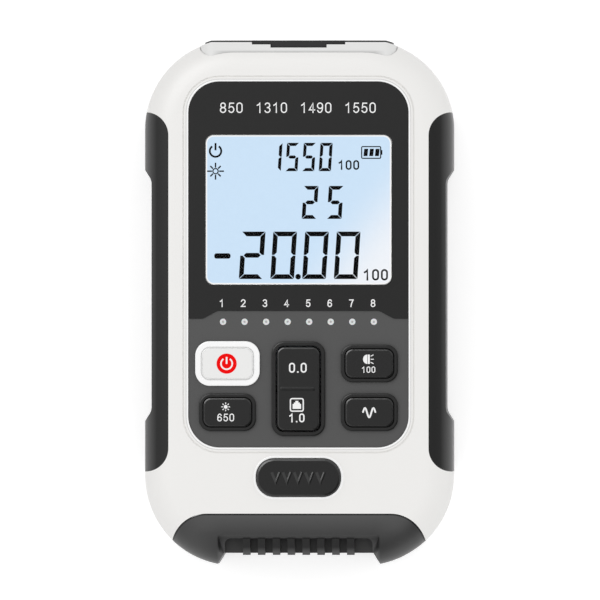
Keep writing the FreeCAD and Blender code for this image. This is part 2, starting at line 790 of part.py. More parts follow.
back_holes = start_body("back_holes")
pad(back_holes, "Z", "-back_wall", "bay_top + back_wall", rectangle(
    "bay_width", "bay_length", "0", "0", "bay_middle"))
pad(back_holes, "Z", "-back_wall", "back_wall + door_inset + door_thickness + press_gap",
    door_outline("slip_gap", "bay_middle + door_length / 2 + slip_gap"))
pad(back_holes, "Z", "-back_wall", "back_wall + screw_well_depth",
    *[(x, y, "screw_well_radius") for x, y in SCREWS])
pad(back_holes, "Z", "screw_well_depth", "parting_height",
    *[(x, y, "screw_clear_radius") for x, y in SCREWS])
pad(back_holes, "Z", "-back_wall", "back_wall + finger_depth",
    ("0", "bay_middle - door_length / 2", "finger_radius"))
for hook_side in (-1, 1):
    pad(back_holes, "X", f"{hook_side} * hook_x - hook_width / 2 - slip_gap", "hook_width + 2 * slip_gap",
        between("door_hinge_line - 3 * hook_reach", "hook_low - slip_gap",
                "door_hinge_line + door_thickness / 2 + hook_reach + 2 * slip_gap",
                "door_inset + door_thickness + door_ledge_thickness + slip_gap"))
back_form = fused("back_form", back_blank, back_posts)
back_shell = keep(cut("back_shell", back_form, back_holes), "back_shell")

# ---- Screws that hold the case and the board ----
case_screws = keep(start_body("case_screws"), "case_screws")
pad(case_screws, "Z", "screw_well_depth - screw_head_height", "screw_head_height",
    *[(x, y, "screw_head_radius") for x, y in SCREWS])
pad(case_screws, "Z", "screw_well_depth", "screw_length", *[(x, y, "screw_radius") for x, y in SCREWS])
board_screws = keep(start_body("board_screws"), "board_screws")
pad(board_screws, "Z", "board_height - board_screw_head_height", "board_screw_head_height",
    *[(x, y, "board_screw_head") for x, y in POSTS])
pad(board_screws, "Z", "board_height", "board_screw_length",
    *[(x, y, "board_screw_radius") for x, y in POSTS])

# ---- Front panel: two bezels that meet along a lobed line ----
panel_blank = start_body("panel_blank")
pad(panel_blank, "Z", "panel_floor", "panel_depth - display_bezel_drop", panel_outline("-press_gap"))
split = start_body("split")
pad(split, "Z", "0", "2 * case_depth", [
    ("-split_side", "-case_length", "0"), ("split_side", "-case_length", "0"),
    ("split_side", "-(bezel_split + bezel_lobe)", "0"),
    ("lobe_to", "-(bezel_split + bezel_lobe)", "lobe_round"),
    ("lobe_from", "-bezel_split", "lobe_round"),
    ("-lobe_from", "-bezel_split", "lobe_round"),
    ("-lobe_to", "-(bezel_split + bezel_lobe)", "lobe_round"),
    ("-split_side", "-(bezel_split + bezel_lobe)", "0"),
])
bezel_step = start_body("bezel_step")
pad(bezel_step, "Z", "keypad_top", "case_depth", rectangle("2 * case_width", "2 * case_length"))
window_hole = start_body("window_hole")
pad(window_hole, "Z", "0", "2 * case_depth", rectangle(
    "window_width", "window_height", "window_corner", "0", "window_middle"))
display_bezel = keep(cut("display_bezel", panel_blank, split, window_hole), "display_bezel")

keypad_holes = start_body("keypad_holes")
for key_name in KEYS:
    pad(keypad_holes, "Z", "0", "2 * case_depth", key_outline(key_name, "-press_gap"))
pad(keypad_holes, "Z", "0", "2 * case_depth", *[(x, "-lamp_row", "lamp_radius") for x in LAMPS])
keypad_bezel = keep(cut(
    "keypad_bezel", common("keypad_form", panel_blank, split), bezel_step, keypad_holes), "keypad_bezel")

# ---- Display: lens, glass, edge connectors and backlight, stacked down to the board ----
display_lens = keep(start_body("display_lens"), "display_lens")
pad(display_lens, "Z", "panel_floor", "panel_depth - lens_drop", rectangle(
    "(window_width - 2 * press_gap)", "(window_height - 2 * press_gap)", "window_corner - press_gap",
    "0", "window_middle"))
display_glass = keep(start_body("display_glass"), "display_glass")
pad(display_glass, "Z", "glass_back", "glass_thickness", rectangle(
    "glass_width", "glass_height", "0", "0", "window_middle"))
backlight = keep(start_body("backlight"), "backlight")
pad(backlight, "Z", "board_front", "glass_back - board_front", rectangle(
    "backlight_width", "backlight_height", "0", "0", "window_middle"))
display_connectors = keep(start_body("display_connectors"), "display_connectors")
pad(display_connectors, "Z", "board_front", "glass_back - board_front",
    *[rectangle("connector_length", "connector_width", "0", "0",
                f"window_middle + {side} * (glass_height / 2 - connector_inset - connector_width / 2)")
      for side in (-1, 1)])

# ---- Indicator row: chips on the board and a light guide with a pin for each window ----
light_guide = keep(start_body("light_guide"), "light_guide")
pad(light_guide, "Z", "face_under - lamp_bar_thickness", "lamp_bar_thickness", rectangle(
    "(lamp_count * lamp_pitch)", "lamp_bar_width", "0", "0", "-lamp_row"))
pad(light_guide, "Z", "face_under", "keypad_top - face_under",
    *[(x, "-lamp_row", "lamp_radius") for x in LAMPS])
indicator_chips = keep(start_body("indicator_chips"), "indicator_chips")
pad(indicator_chips, "Z", "board_front", "lamp_chip_height", *[rectangle(
    "lamp_chip_length / 2", "lamp_chip_length", "0", x, "-lamp_row") for x in LAMPS])

# ---- Circuit board ----
main_board = keep(start_body("main_board"), "main_board")
pad(main_board, "Z", "board_height", "board_thickness", between(
    "-board_width / 2", "-board_bottom", "board_width / 2", "board_top"))
pocket(main_board, "Z", "board_height", "board_thickness", *[(x, y, "board_screw_radius") for x, y in POSTS])

# ---- Keys: caps held by a flange under the face, each on a rubber dome ----
for key_name in ("power_key", "laser_key", "lamp_key", "wavelength_key"):
    key_x, key_y, ring_name = KEYS[key_name]
    key = keep(start_body(key_name), key_name)
    pad(key, "Z", "key_flange_top - key_flange_thickness",
        "key_flange_thickness + press_gap + face_wall + key_proud",
        key_outline(key_name, f"{ring_name}_band + slip_gap"))
    round_edges(key, "key_edge_round", "Z", "case_depth + key_proud")
    pad(key, "Z", "key_flange_top - key_flange_thickness", "key_flange_thickness",
        key_outline(key_name, f"{ring_name}_band + slip_gap - key_flange"))
    pad(key, "Z", "key_foot", "key_foot_height",
        rectangle("key_foot_side", "key_foot_side", "0", key_x, key_y))

reference_key = keep(start_body("reference_key"), "reference_key")
pad(reference_key, "Z", "key_flange_top - key_flange_thickness",
    "key_flange_thickness + press_gap + face_wall + key_proud",
    key_outline("reference_key", "rocker_ring_band + rocker_gap"))
round_edges(reference_key, "key_edge_round", "Z", "case_depth + key_proud")
ROCKER_FEET = [f"-rocker_middle + {side} * rocker_foot_offset" for side in (-1, 1)]
pad(reference_key, "Z", "key_foot", "key_foot_height", *[rectangle(
    "key_foot_side", "key_foot_side", "0", "0", y) for y in ROCKER_FEET])

key_mat = keep(start_body("key_mat"), "key_mat")
pad(key_mat, "Z", "board_front", "mat_thickness", between(
    "-mat_width / 2", "-mat_bottom", "mat_width / 2", "-mat_top"))
DOMES = [(x, y) for name, (x, y, _) in KEYS.items() if name != "reference_key"]
DOMES += [("0", y) for y in ROCKER_FEET]
pad(key_mat, "Z", "board_front + mat_thickness", "(key_foot - board_front - mat_thickness) / 2",
    *[(x, y, "dome_foot_radius") for x, y in DOMES])
pad(key_mat, "Z", "board_front + mat_thickness", "key_foot - board_front - mat_thickness",
    *[(x, y, "dome_top_radius") for x, y in DOMES])

# Trunnions that the long key rocks on, close under the face
pad(reference_key, "X", "-(rocker_ring_width / 2 + key_flange)", "rocker_ring_width + 2 * key_flange",
    ("-rocker_middle", "key_flange_top - rocker_pivot_radius", "rocker_pivot_radius"))

# ---- Port frame: a boss on the end, its neck and a clamping flange behind the end wall ----
frame_boss = start_body("frame_boss")
pad(frame_boss, "Y", "frame_shoulder", "frame_seat", between(
    "-frame_width / 2", "frame_back", "frame_width / 2", "frame_front", "frame_corner"))
pad(frame_boss, "Y", "frame_shoulder - neck_length", "neck_length", between(
    "frame_step - frame_width / 2", "frame_back + frame_step", "frame_width / 2 - frame_step",
    "frame_front - 2 * frame_step", "frame_corner - frame_step"))
pad(frame_boss, "Y", "frame_shoulder - end_wall - clamp_thickness", "clamp_thickness", between(
    "frame_step - clamp_step - frame_width / 2", "frame_back + frame_step - clamp_step",
    "frame_width / 2 - frame_step + clamp_step", "frame_front - 2 * frame_step + clamp_step", "frame_corner"))
pocket(frame_boss, "Y", "port_panel_back", "port_panel_thickness + port_panel_set_back", between(
    "-bay_opening_width / 2", "bay_opening_back", "bay_opening_width / 2", "bay_opening_front",
    "bay_opening_corner"))
pocket(frame_boss, "Y", "frame_shoulder - neck_length", "neck_length", between(
    "port_panel_ledge - bay_opening_width / 2", "bay_opening_back + port_panel_ledge",
    "bay_opening_width / 2 - port_panel_ledge", "bay_opening_front - port_panel_ledge",
    "bay_opening_corner - port_panel_ledge"))
pocket(frame_boss, "Y", "lid_back_face - slip_gap", "lid_thickness + slip_gap", between(
    "-(lid_width / 2 + slip_gap)", "lid_back - lid_swing_gap", "lid_width / 2 + slip_gap",
    "lid_front + slip_gap", "lid_corner + slip_gap"))
pocket(frame_boss, "Y", "lid_back_face - slip_gap", "lid_thickness + slip_gap", between(
    "-(lid_tab_width / 2 + slip_gap)", "lid_front - lid_corner",
    "lid_tab_width / 2 + slip_gap", "case_depth"))
pocket(frame_boss, "Y", "case_length / 2 - lid_shoulder_depth - slip_gap", "lid_shoulder_depth + slip_gap",
       between("-(lid_shoulder_width / 2 + slip_gap)", "lid_front - lid_corner",
               "lid_shoulder_width / 2 + slip_gap", "case_depth"))
pocket(frame_boss, "Y", "hinge_line - hinge_barrel_radius - slip_gap",
       "hinge_drop + hinge_barrel_radius + slip_gap", between(
        "-(hinge_barrel_length / 2 + slip_gap)", "hinge_height - hinge_barrel_radius - slip_gap",
        "hinge_barrel_length / 2 + slip_gap", "lid_back"))
pocket(frame_boss, "X", "-hinge_pin_length / 2", "hinge_pin_length / 2 + frame_width / 2",
       ("hinge_line", "hinge_height", "hinge_pin_radius"))
frame_plan = start_body("frame_plan")
pad(frame_plan, "Z", "0", "case_depth", case_outline("0"))
port_frame = keep(common("port_frame", frame_boss, frame_plan), "port_frame")

# ---- Port panel ----
port_panel = keep(start_body("port_panel"), "port_panel")
pad(port_panel, "Y", "port_panel_back", "port_panel_thickness", between(
    "press_gap - bay_opening_width / 2", "bay_opening_back + press_gap", "bay_opening_width / 2 - press_gap",
    "bay_opening_front - press_gap", "bay_opening_corner - press_gap"))
pocket(port_panel, "Y", "port_panel_back", "port_panel_thickness", between(
    "socket_x - socket_width / 2 - press_gap", "board_height - socket_height - press_gap",
    "socket_x + socket_width / 2 + press_gap", "board_height + press_gap"))
pocket(port_panel, "Y", "port_panel_back", "port_panel_thickness",
       ("meter_port_x", "port_height", "port_thread_radius + press_gap"),
       ("laser_port_x", "port_height", "port_thread_radius + press_gap"),
       ("torch_x", "torch_height", "torch_radius + press_gap"))

# ---- Optical ports: turned adapters with a bore for a fibre ferrule, each clamped by a nut ----
for port_name, port_x in (("meter_port", "meter_port_x"), ("laser_port", "laser_port_x")):
    port = keep(start_body(port_name), port_name)
    spin(port, port_x, "port_height", [
        ("ferrule_radius", "port_nose", "0"), ("ferrule_radius", "ferrule_stop", "0"),
        ("sensor_radius", "ferrule_stop", "0"), ("sensor_radius", "port_tail", "0"),
        ("port_tail_radius", "port_tail", "0"), ("port_tail_radius", "port_flange_back", "0"),
        ("port_flange_radius", "port_flange_back", "0"), ("port_flange_radius", "port_panel_back", "0"),
        ("port_thread_radius", "port_panel_back", "0"), ("port_thread_radius", "port_nose", "0"),
    ])
port_nuts = keep(start_body("port_nuts"), "port_nuts")
pad(port_nuts, "Y", "port_panel_front", "port_nut_thickness",
    *[(x, "port_height", "port_nut_radius") for x in ("meter_port_x", "laser_port_x")])
pocket(port_nuts, "Y", "port_panel_front", "port_nut_thickness",
       *[(x, "port_height", "port_thread_radius") for x in ("meter_port_x", "laser_port_x")])
optical_detector = keep(start_body("optical_detector"), "optical_detector")
pad(optical_detector, "Y", "ferrule_stop - detector_length", "detector_length",
    ("meter_port_x", "port_height", "sensor_radius - press_gap"))
laser_module = keep(start_body("laser_module"), "laser_module")
pad(laser_module, "Y", "ferrule_stop - laser_length", "laser_length",
    ("laser_port_x", "port_height", "sensor_radius - press_gap"))

# ---- Torch lamp behind its hole in the panel, with two legs on the board ----
torch_lamp = keep(start_body("torch_lamp"), "torch_lamp")
spin(torch_lamp, "torch_x", "torch_height", [
    ("0", "port_panel_back - torch_rim", "0"),
    ("torch_radius + torch_rim", "port_panel_back - torch_rim", "0"),
    ("torch_radius + torch_rim", "port_panel_back", "0"), ("torch_radius", "port_panel_back", "0"),
    ("torch_radius", "port_panel_back + torch_length", "0.8 * torch_radius"),
    ("0", "port_panel_back + torch_length", "0"),
])
pad(torch_lamp, "Y", "board_top - torch_rim * 4",
    "port_panel_back - board_top + torch_rim * 4 - torch_rim / 2",
    *[rectangle("torch_rim", "torch_rim", "0", f"torch_x + {side} * torch_radius / 2",
                "board_front + torch_rim / 2") for side in (-1, 1)])

# ---- Dust lid, stepped finger tab at its front, and its hinge ----
lid_plate = start_body("lid_plate")
pad(lid_plate, "Y", "lid_back_face", "lid_thickness", between(
    "-lid_width / 2", "lid_back", "lid_width / 2", "lid_front", "lid_corner"))
pad(lid_plate, "Y", "lid_back_face", "lid_thickness", between(
    "-lid_tab_width / 2", "lid_front - lid_corner", "lid_tab_width / 2", "lid_front + lid_tab_reach"))
pad(lid_plate, "Y", "case_length / 2 - lid_shoulder_depth", "lid_shoulder_depth", between(
    "-lid_shoulder_width / 2", "lid_front - lid_corner",
    "lid_shoulder_width / 2", "lid_front + lid_tab_reach"))
pad(lid_plate, "X", "-hinge_barrel_length / 2", "hinge_barrel_length", between(
    "lid_back_face", "hinge_height", "hinge_line + hinge_barrel_radius", "lid_back + lid_thickness"))
pad(lid_plate, "X", "-hinge_barrel_length / 2", "hinge_barrel_length",
    ("hinge_line", "hinge_height", "hinge_barrel_radius"))
pocket(lid_plate, "X", "-hinge_barrel_length / 2", "hinge_barrel_length",
       ("hinge_line", "hinge_height", "hinge_pin_radius + hinge_running_gap"))
lid_plan = start_body("lid_plan")
pad(lid_plan, "Z", "0", "case_depth", case_outline("lid_proud"))
dust_lid = keep(common("dust_lid", lid_plate, lid_plan), "dust_lid")
lid_hinge_pin = keep(start_body("lid_hinge_pin"), "lid_hinge_pin")
pad(lid_hinge_pin, "X", "-hinge_pin_length / 2", "hinge_pin_length",
    ("hinge_line", "hinge_height", "hinge_pin_radius"))


def socket(label, middle_x, back, mouth_end, sense):
    """An eight-way socket whose mouth opens along Y, and its row of sprung contacts."""
    def along(depth):
        return f"({mouth_end} - {sense} * ({depth}))"

    def reach(depth):
        return along(depth) if sense > 0 else mouth_end

    floor = f"{back} + socket_mouth_floor"
    step = f"{floor} + socket_mouth_height"
    slot = f"{step} + socket_step_height"
    top = f"{slot} + socket_slot_height"
    housing = keep(start_body(label), label)
    pad(housing, "Y", reach("socket_depth"), "socket_depth", rectangle(
        "socket_width", "socket_height", "0", middle_x, f"{back} + socket_height / 2"))
    mouth = [("socket_mouth_width", floor), ("socket_mouth_width", step), ("socket_step_width", step),
             ("socket_step_width", slot), ("socket_slot_width", slot), ("socket_slot_width", top)]
    pocket(housing, "Y", reach("socket_mouth_depth"), "socket_mouth_depth", [
        *[(f"{middle_x} + {width} / 2", height, "0") for width, height in mouth],
        *[(f"{middle_x} - {width} / 2", height, "0") for width, height in reversed(mouth)]])
    contacts = keep(start_body(f"{label}_contacts"), f"{label}_contacts")
    near, far = along("contact_set_back"), along("contact_set_back + contact_length")
    for place in range(8):
        pad(contacts, "X", f"{middle_x} + ({place} - 3.5) * contact_pitch - contact_width / 2",
            "contact_width", [
            (near, floor, "0"), (far, f"{floor} + contact_rise", "0"),
            (far, f"{floor} + contact_rise + contact_thickness", "0"),
            (near, f"{floor} + contact_thickness", "0"),
        ])


socket("main_jack", "socket_x", "(board_height - socket_height)", "port_panel_front", 1)

# ---- Batteries, their contacts and the battery door ----
for place in range(3):
    cell_x = f"({place} - 1) * cell_pitch"
    facing = 1 if place % 2 == 0 else -1
    button_end = f"(bay_middle + {facing} * (bay_length / 2 - contact_plate_thickness))"
    cell = keep(start_body(f"battery_cell_{place + 1}"), f"battery_cell_{place + 1}")
    low_end = "- cell_button_length - cell_length" if facing > 0 else "+ cell_button_length"
    pad(cell, "Y", f"{button_end} {low_end}", "cell_length", (cell_x, "cell_height", "cell_radius"))
    pad(cell, "Y", f"{button_end} - cell_button_length" if facing > 0 else button_end, "cell_button_length",
        (cell_x, "cell_height", "cell_button_radius"))

battery_contacts = keep(start_body("battery_contacts"), "battery_contacts")
for end in (-1, 1):
    pad(battery_contacts, "Y",
        f"bay_middle + {end} * bay_length / 2 - {(end + 1) // 2} * contact_plate_thickness",
        "contact_plate_thickness",
        *[rectangle("contact_plate_width", "contact_plate_height", "0",
                    f"({place} - 1) * cell_pitch", "cell_height") for place in range(3)])
for place in range(3):
    facing = 1 if place % 2 == 0 else -1
    root = f"bay_middle - {facing} * (bay_length / 2 - contact_plate_thickness)"
    tip = f"{root} + {facing} * spring_gap"
    inner = f"{tip} - {facing} * contact_plate_thickness"
    pad(battery_contacts, "X", f"({place} - 1) * cell_pitch - contact_plate_width / 4",
        "contact_plate_width / 2", [
        (root, "cell_height - contact_plate_height / 2", "0"),
        (tip, "cell_height - cell_button_radius", "0"), (tip, "cell_height + cell_button_radius", "0"),
        (root, "cell_height + contact_plate_height / 2", "0"),
        (root, "cell_height + contact_plate_height / 2 - 2 * contact_plate_thickness", "0"),
        (inner, "cell_height + cell_button_radius - contact_plate_thickness", "0"),
        (inner, "cell_height - cell_button_radius + contact_plate_thickness", "0"),
        (root, "cell_height - contact_plate_height / 2 + 2 * contact_plate_thickness", "0"),
    ])

battery_door = keep(start_body("battery_door"), "battery_door")
pad(battery_door, "Z", "door_inset", "door_thickness", door_outline("0", "door_hinge_line"))
pad(battery_door, "X", "-door_width / 2", "door_width",
    ("door_hinge_line", "door_inset + door_thickness / 2", "door_thickness / 2"))
for hook_side in (-1, 1):
    pad(battery_door, "X", f"{hook_side} * hook_x - hook_width / 2", "hook_width", between(
        "door_hinge_line - hook_reach", "hook_low", "door_hinge_line + door_thickness / 2 + hook_reach",
        "hook_low + hook_thickness"))

# ---- Remote unit: two covers with a sleeve and a tongue that slide into the case ----
remote_reach = start_body("remote_reach")
pad(remote_reach, "Z", "-case_depth", "3 * case_depth", between(
    "-remote_width / 2", "-case_length", "remote_width / 2", "-remote_shoulder", "remote_corner"))
end_notch = start_body("end_notch")
pad(end_notch, "Z", "-case_depth", "3 * case_depth", [
    ("-notch_outer_width / 2", "-case_length / 2", "0"), ("-notch_outer_width / 2", "-case_length", "0"),
    ("notch_outer_width / 2", "-case_length", "0"), ("notch_outer_width / 2", "-case_length / 2", "0"),
    ("notch_inner_width / 2", "-notch_floor", "0"), ("-notch_inner_width / 2", "-notch_floor", "0"),
])
scoop_plan = start_body("scoop_plan")
pad(scoop_plan, "Z", "-case_depth", "3 * case_depth", between(
    "-(notch_inner_width / 2 + scoop_flare)", "-case_length",
    "notch_inner_width / 2 + scoop_flare", "-scoop_top", "scoop_corner"))
scoop_sides = start_body("scoop_sides")
pad(scoop_sides, "Y", "-case_length / 2", "case_length / 2", [
    ("-(notch_inner_width / 2 + scoop_flare)", "case_depth", "0"),
    ("-notch_inner_width / 2", "case_depth - scoop_depth", "0"),
    ("-notch_inner_width / 2", "back_scoop_depth", "0"),
    ("-(notch_inner_width / 2 + scoop_flare)", "0", "0"),
    ("notch_inner_width / 2 + scoop_flare", "0", "0"),
    ("notch_inner_width / 2", "back_scoop_depth", "0"),
    ("notch_inner_width / 2", "case_depth - scoop_depth", "0"),
    ("notch_inner_width / 2 + scoop_flare", "case_depth", "0"),
])
scoop_section = start_body("scoop_section")
pad(scoop_section, "X", "-case_width / 2", "case_width", [
    ("-scoop_top", "case_depth", "0"), ("-scoop_top", "2 * case_depth", "0"),
    ("-case_length", "2 * case_depth", "0"), ("-case_length", "case_depth - scoop_depth", "0"),
    ("-notch_floor", "case_depth - scoop_depth", "0"),
])
pad(scoop_section, "X", "-case_width / 2", "case_width", [
    ("-scoop_top", "0", "0"), ("-notch_floor", "back_scoop_depth", "0"),
    ("-case_length", "back_scoop_depth", "0"), ("-case_length", "-case_depth", "0"),
    ("-scoop_top", "-case_depth", "0"),
])
scoops = common("scoops", common("scoop_form", scoop_plan, scoop_section), scoop_sides)
rib_well = start_body("rib_well")
pad(rib_well, "Z", "rib_well_floor", "case_depth", between(
    "rib_well_margin - notch_inner_width / 2", "-case_length",
    "notch_inner_width / 2 - rib_well_margin", "-rib_start", "rib_well_corner"))
remote_block = cut(
    "remote_block", common("remote_form", case_form, remote_reach), end_notch, scoops, rib_well)

remote_ribs = start_body("remote_ribs")
for place in range(SIZES["rib_count"]):
    pad(remote_ribs, "X", f"({place} - (rib_count - 1) / 2) * rib_pitch - rib_width / 2", "rib_width", [
        ("-rib_start", "case_depth - scoop_depth - rib_wrap", "0"),
        ("-rib_start", "rib_foot + rib_start_height", "0"),
        ("-(notch_floor + rib_overhang)", "case_depth - scoop_depth + rib_height", "0"),
        ("-(notch_floor + rib_overhang)", "case_depth - scoop_depth - rib_wrap", "0"),
    ])

sleeve = start_body("sleeve")
pad(sleeve, "Y", "-(remote_shoulder + bulkhead)", "remote_shoulder + bulkhead - sleeve_end", between(
    "-sleeve_width / 2", "sleeve_back", "sleeve_width / 2", "sleeve_front", "sleeve_corner"))
pad(sleeve, "Z", "sleeve_front - tongue_thickness", "tongue_thickness", between(
    "-tongue_width / 2", "-(sleeve_end + sleeve_wall)", "tongue_width / 2", "-tongue_end"))
pocket(sleeve, "Z", "sleeve_front - tongue_thickness", "tongue_thickness", between(
    "-catch_width / 2", "-catch_far", "catch_width / 2", "-catch_near"))

remote_hollow = start_body("remote_hollow")
pad(remote_hollow, "Y", "remote_end_wall - notch_floor",
    "notch_floor - remote_end_wall - sleeve_end - sleeve_wall", between(
        "sleeve_wall - sleeve_width / 2", "sleeve_back + sleeve_wall",
        "sleeve_width / 2 - sleeve_wall", "sleeve_front - sleeve_wall"))
pad(remote_hollow, "Y", "remote_end_wall - notch_floor",
    "notch_floor - remote_end_wall - remote_shoulder - bulkhead", between(
        "-remote_hollow_width / 2", "remote_hollow_wall",
        "remote_hollow_width / 2", "rib_well_floor - rib_well_wall"))
pad(remote_hollow, "Y", "rib_well_wall - rib_start",
    "rib_start - rib_well_wall - remote_shoulder - bulkhead", between(
        "-remote_hollow_width / 2", "remote_hollow_wall",
        "remote_hollow_width / 2", "case_depth - remote_hollow_wall"))
pad(remote_hollow, "Y", "-case_length / 2", "case_length / 2 - sleeve_end - sleeve_wall", rectangle(
    "(socket_width + 2 * press_gap)", "(socket_height + 2 * press_gap)", "0", "0",
    "remote_jack_back + socket_height / 2"))
REMOTE_SCREWS = [(f"{side} * remote_screw_x", "-remote_screw_y") for side in (-1, 1)]
pad(remote_hollow, "Z", "-back_wall", "back_wall + remote_screw_well_depth",
    *[(x, y, "remote_screw_well_radius") for x, y in REMOTE_SCREWS])
pad(remote_hollow, "Z", "remote_screw_well_depth", "remote_screw_length + slip_gap",
    *[(x, y, "remote_screw_radius") for x, y in REMOTE_SCREWS])
remote_body = cut("remote_body", fused("remote_whole", remote_block, sleeve, remote_ribs), remote_hollow)
remote_front_cover = keep(cut("remote_front_cover", remote_body, below_parting), "remote_front_cover")
remote_back_cover = keep(cut("remote_back_cover", remote_body, above_parting), "remote_back_cover")

remote_screws = keep(start_body("remote_screws"), "remote_screws")
pad(remote_screws, "Z", "remote_screw_well_depth - remote_screw_head_height", "remote_screw_head_height",
    *[(x, y, "remote_screw_head") for x, y in REMOTE_SCREWS])
pad(remote_screws, "Z", "remote_screw_well_depth", "remote_screw_length",
    *[(x, y, "remote_screw_radius") for x, y in REMOTE_SCREWS])
socket("remote_jack", "0", "remote_jack_back", "-notch_floor", -1)
remote_board = keep(start_body("remote_board"), "remote_board")
pad(remote_board, "Z", "remote_jack_back + socket_height", "remote_board_thickness", between(
    "2 * sleeve_wall - sleeve_width / 2", "remote_end_wall + sleeve_gap - notch_floor",
    "sleeve_width / 2 - 2 * sleeve_wall", "-(sleeve_end + sleeve_wall + sleeve_gap)"))

# ---- Release button and the latch spring that its legs press down ----
release_button = keep(start_body("release_button"), "release_button")
pad(release_button, "Z", "key_flange_top - release_flange_thickness",
    "release_flange_thickness + press_gap + face_wall + release_proud", release_outline("0"))
round_edges(release_button, "release_edge_round", "Z", "case_depth + release_proud")
pad(release_button, "Z", "key_flange_top - release_flange_thickness", "release_flange_thickness",
    release_outline("release_flange"))
pad(release_button, "Z", "board_height + press_gap",
    "key_flange_top - release_flange_thickness - board_height - press_gap",
    *[rectangle("release_leg_width", "release_leg_length", "0",
                f"{side} * release_leg_x", "-release_leg_middle") for side in (-1, 1)])
remote_latch = keep(start_body("remote_latch"), "remote_latch")
pad(remote_latch, "Z", "board_height - latch_thickness", "latch_thickness", between(
    "-latch_width / 2", "-latch_tip", "latch_width / 2", "-latch_root"))
pad(remote_latch, "Z", "board_height", "latch_nose_rise", between(
    "-latch_nose_width / 2", "-latch_tip", "latch_nose_width / 2", "latch_nose_length - latch_tip"))

# ---- Check every object and write each piece to its own file ----
doc.recompute()
for item in doc.Objects:
    if "Invalid" in item.State or "Error" in item.State:
        raise RuntimeError(f"{item.Label} did not build: {item.State}")
for piece in nodes:
    if piece.Shape.isNull() or not piece.Shape.isValid() or not piece.Shape.Solids:
        raise RuntimeError(f"{piece.Label} has no sound solid")
os.makedirs("parts", exist_ok=True)
for piece in nodes:
    piece.Shape.exportStep(f"parts/{piece.Label}.step")
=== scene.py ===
import math

import bmesh
import bpy
import numpy as np
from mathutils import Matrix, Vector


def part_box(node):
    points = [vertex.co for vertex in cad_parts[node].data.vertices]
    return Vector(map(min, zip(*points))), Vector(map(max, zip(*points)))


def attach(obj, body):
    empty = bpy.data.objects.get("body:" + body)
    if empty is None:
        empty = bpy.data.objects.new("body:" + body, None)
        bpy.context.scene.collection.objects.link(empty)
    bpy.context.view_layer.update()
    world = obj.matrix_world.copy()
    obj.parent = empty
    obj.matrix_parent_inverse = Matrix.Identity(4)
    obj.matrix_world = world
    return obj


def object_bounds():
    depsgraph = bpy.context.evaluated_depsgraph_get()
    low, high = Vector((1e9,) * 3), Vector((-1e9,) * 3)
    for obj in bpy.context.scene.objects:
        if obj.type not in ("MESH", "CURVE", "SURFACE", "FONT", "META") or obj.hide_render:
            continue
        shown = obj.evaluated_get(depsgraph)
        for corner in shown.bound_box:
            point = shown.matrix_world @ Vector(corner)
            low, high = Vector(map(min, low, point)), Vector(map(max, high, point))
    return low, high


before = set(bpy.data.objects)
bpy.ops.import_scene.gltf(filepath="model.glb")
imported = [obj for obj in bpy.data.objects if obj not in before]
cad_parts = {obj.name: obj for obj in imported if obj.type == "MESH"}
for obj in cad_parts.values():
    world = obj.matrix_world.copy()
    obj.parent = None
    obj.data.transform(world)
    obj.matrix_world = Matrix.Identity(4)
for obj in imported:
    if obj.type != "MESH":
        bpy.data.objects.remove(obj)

cad_low, cad_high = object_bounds()
MM = 0.001

# ---- Studio ----
# The meter lies on its back on a white floor. White surroundings light it evenly, a lamp at its
# upper left glints on the edges, and a dark card at its lower right takes the shine off the others.


def tint(red, green, blue):
    """The linear colour of three screen steps: each is ((c / 255 + 0.055) / 1.055) to the power 2.4."""
    return tuple(((c / 255 + 0.055) / 1.055) ** 2.4 for c in (red, green, blue)) + (1.0,)


def adder(tree):
    """A function that adds a node to a tree. A name in small letters sets the node itself. Any other sets
    an input: _0 is the first, and an underline is a space. A node given stands for its first output."""

    def add(kind, **values):
        node = tree.nodes.new(kind)
        for name, value in values.items():
            if name[0].islower():
                setattr(node, name, value)
                continue
            socket = node.inputs[int(name[1:]) if name[0] == "_" else name.replace("_", " ")]
            if hasattr(value, "outputs"):
                value = value.outputs[0]
            if hasattr(value, "is_output"):
                tree.links.new(value, socket)
            else:
                socket.default_value = value
        return node

    return add


def nodes_of(owner):
    """Empties the node tree of a material or the world, and gives the function that adds to it."""
    owner.use_nodes = True
    owner.node_tree.nodes.clear()
    return adder(owner.node_tree)


def maths(add, operation, *values):
    """One step of arithmetic on up to three numbers or sockets."""
    inputs = {f"_{number}": value for number, value in enumerate(values)}
    return add("ShaderNodeMath", operation=operation, **inputs)


def ramp(add, value, start=0.0, end=1.0, first=0.0, last=1.0, shape="LINEAR"):
    """A value that goes from start to end, mapped to go from first to last and held beyond them."""
    return add("ShaderNodeMapRange", interpolation_type=shape, Value=value, From_Min=start, From_Max=end,
               To_Min=first, To_Max=last)


def looked_at(add):
    """1 for a ray from the camera, off a shiny face or through glass, and 0 for one that lights a face."""
    rays = add("ShaderNodeLightPath").outputs
    direct = maths(add, "MAXIMUM", rays["Is Camera Ray"], rays["Is Glossy Ray"])
    return maths(add, "MAXIMUM", direct, rays["Is Transmission Ray"])


full_white = tint(255, 255, 255)
world = bpy.data.worlds.new("surroundings")
bpy.context.scene.world = world
add = nodes_of(world)
upward = add("ShaderNodeSeparateXYZ", _0=add("ShaderNodeTexCoord").outputs["Generated"])
sky = ramp(add, upward.outputs["Z"], first=0.72, last=1.08)
seen_white = add("ShaderNodeBackground", Color=full_white, Strength=1.0)
light_white = add("ShaderNodeBackground", Color=full_white, Strength=sky)
mixed = add("ShaderNodeMixShader", _0=looked_at(add), _1=light_white, _2=seen_white)
add("ShaderNodeOutputWorld", Surface=mixed)

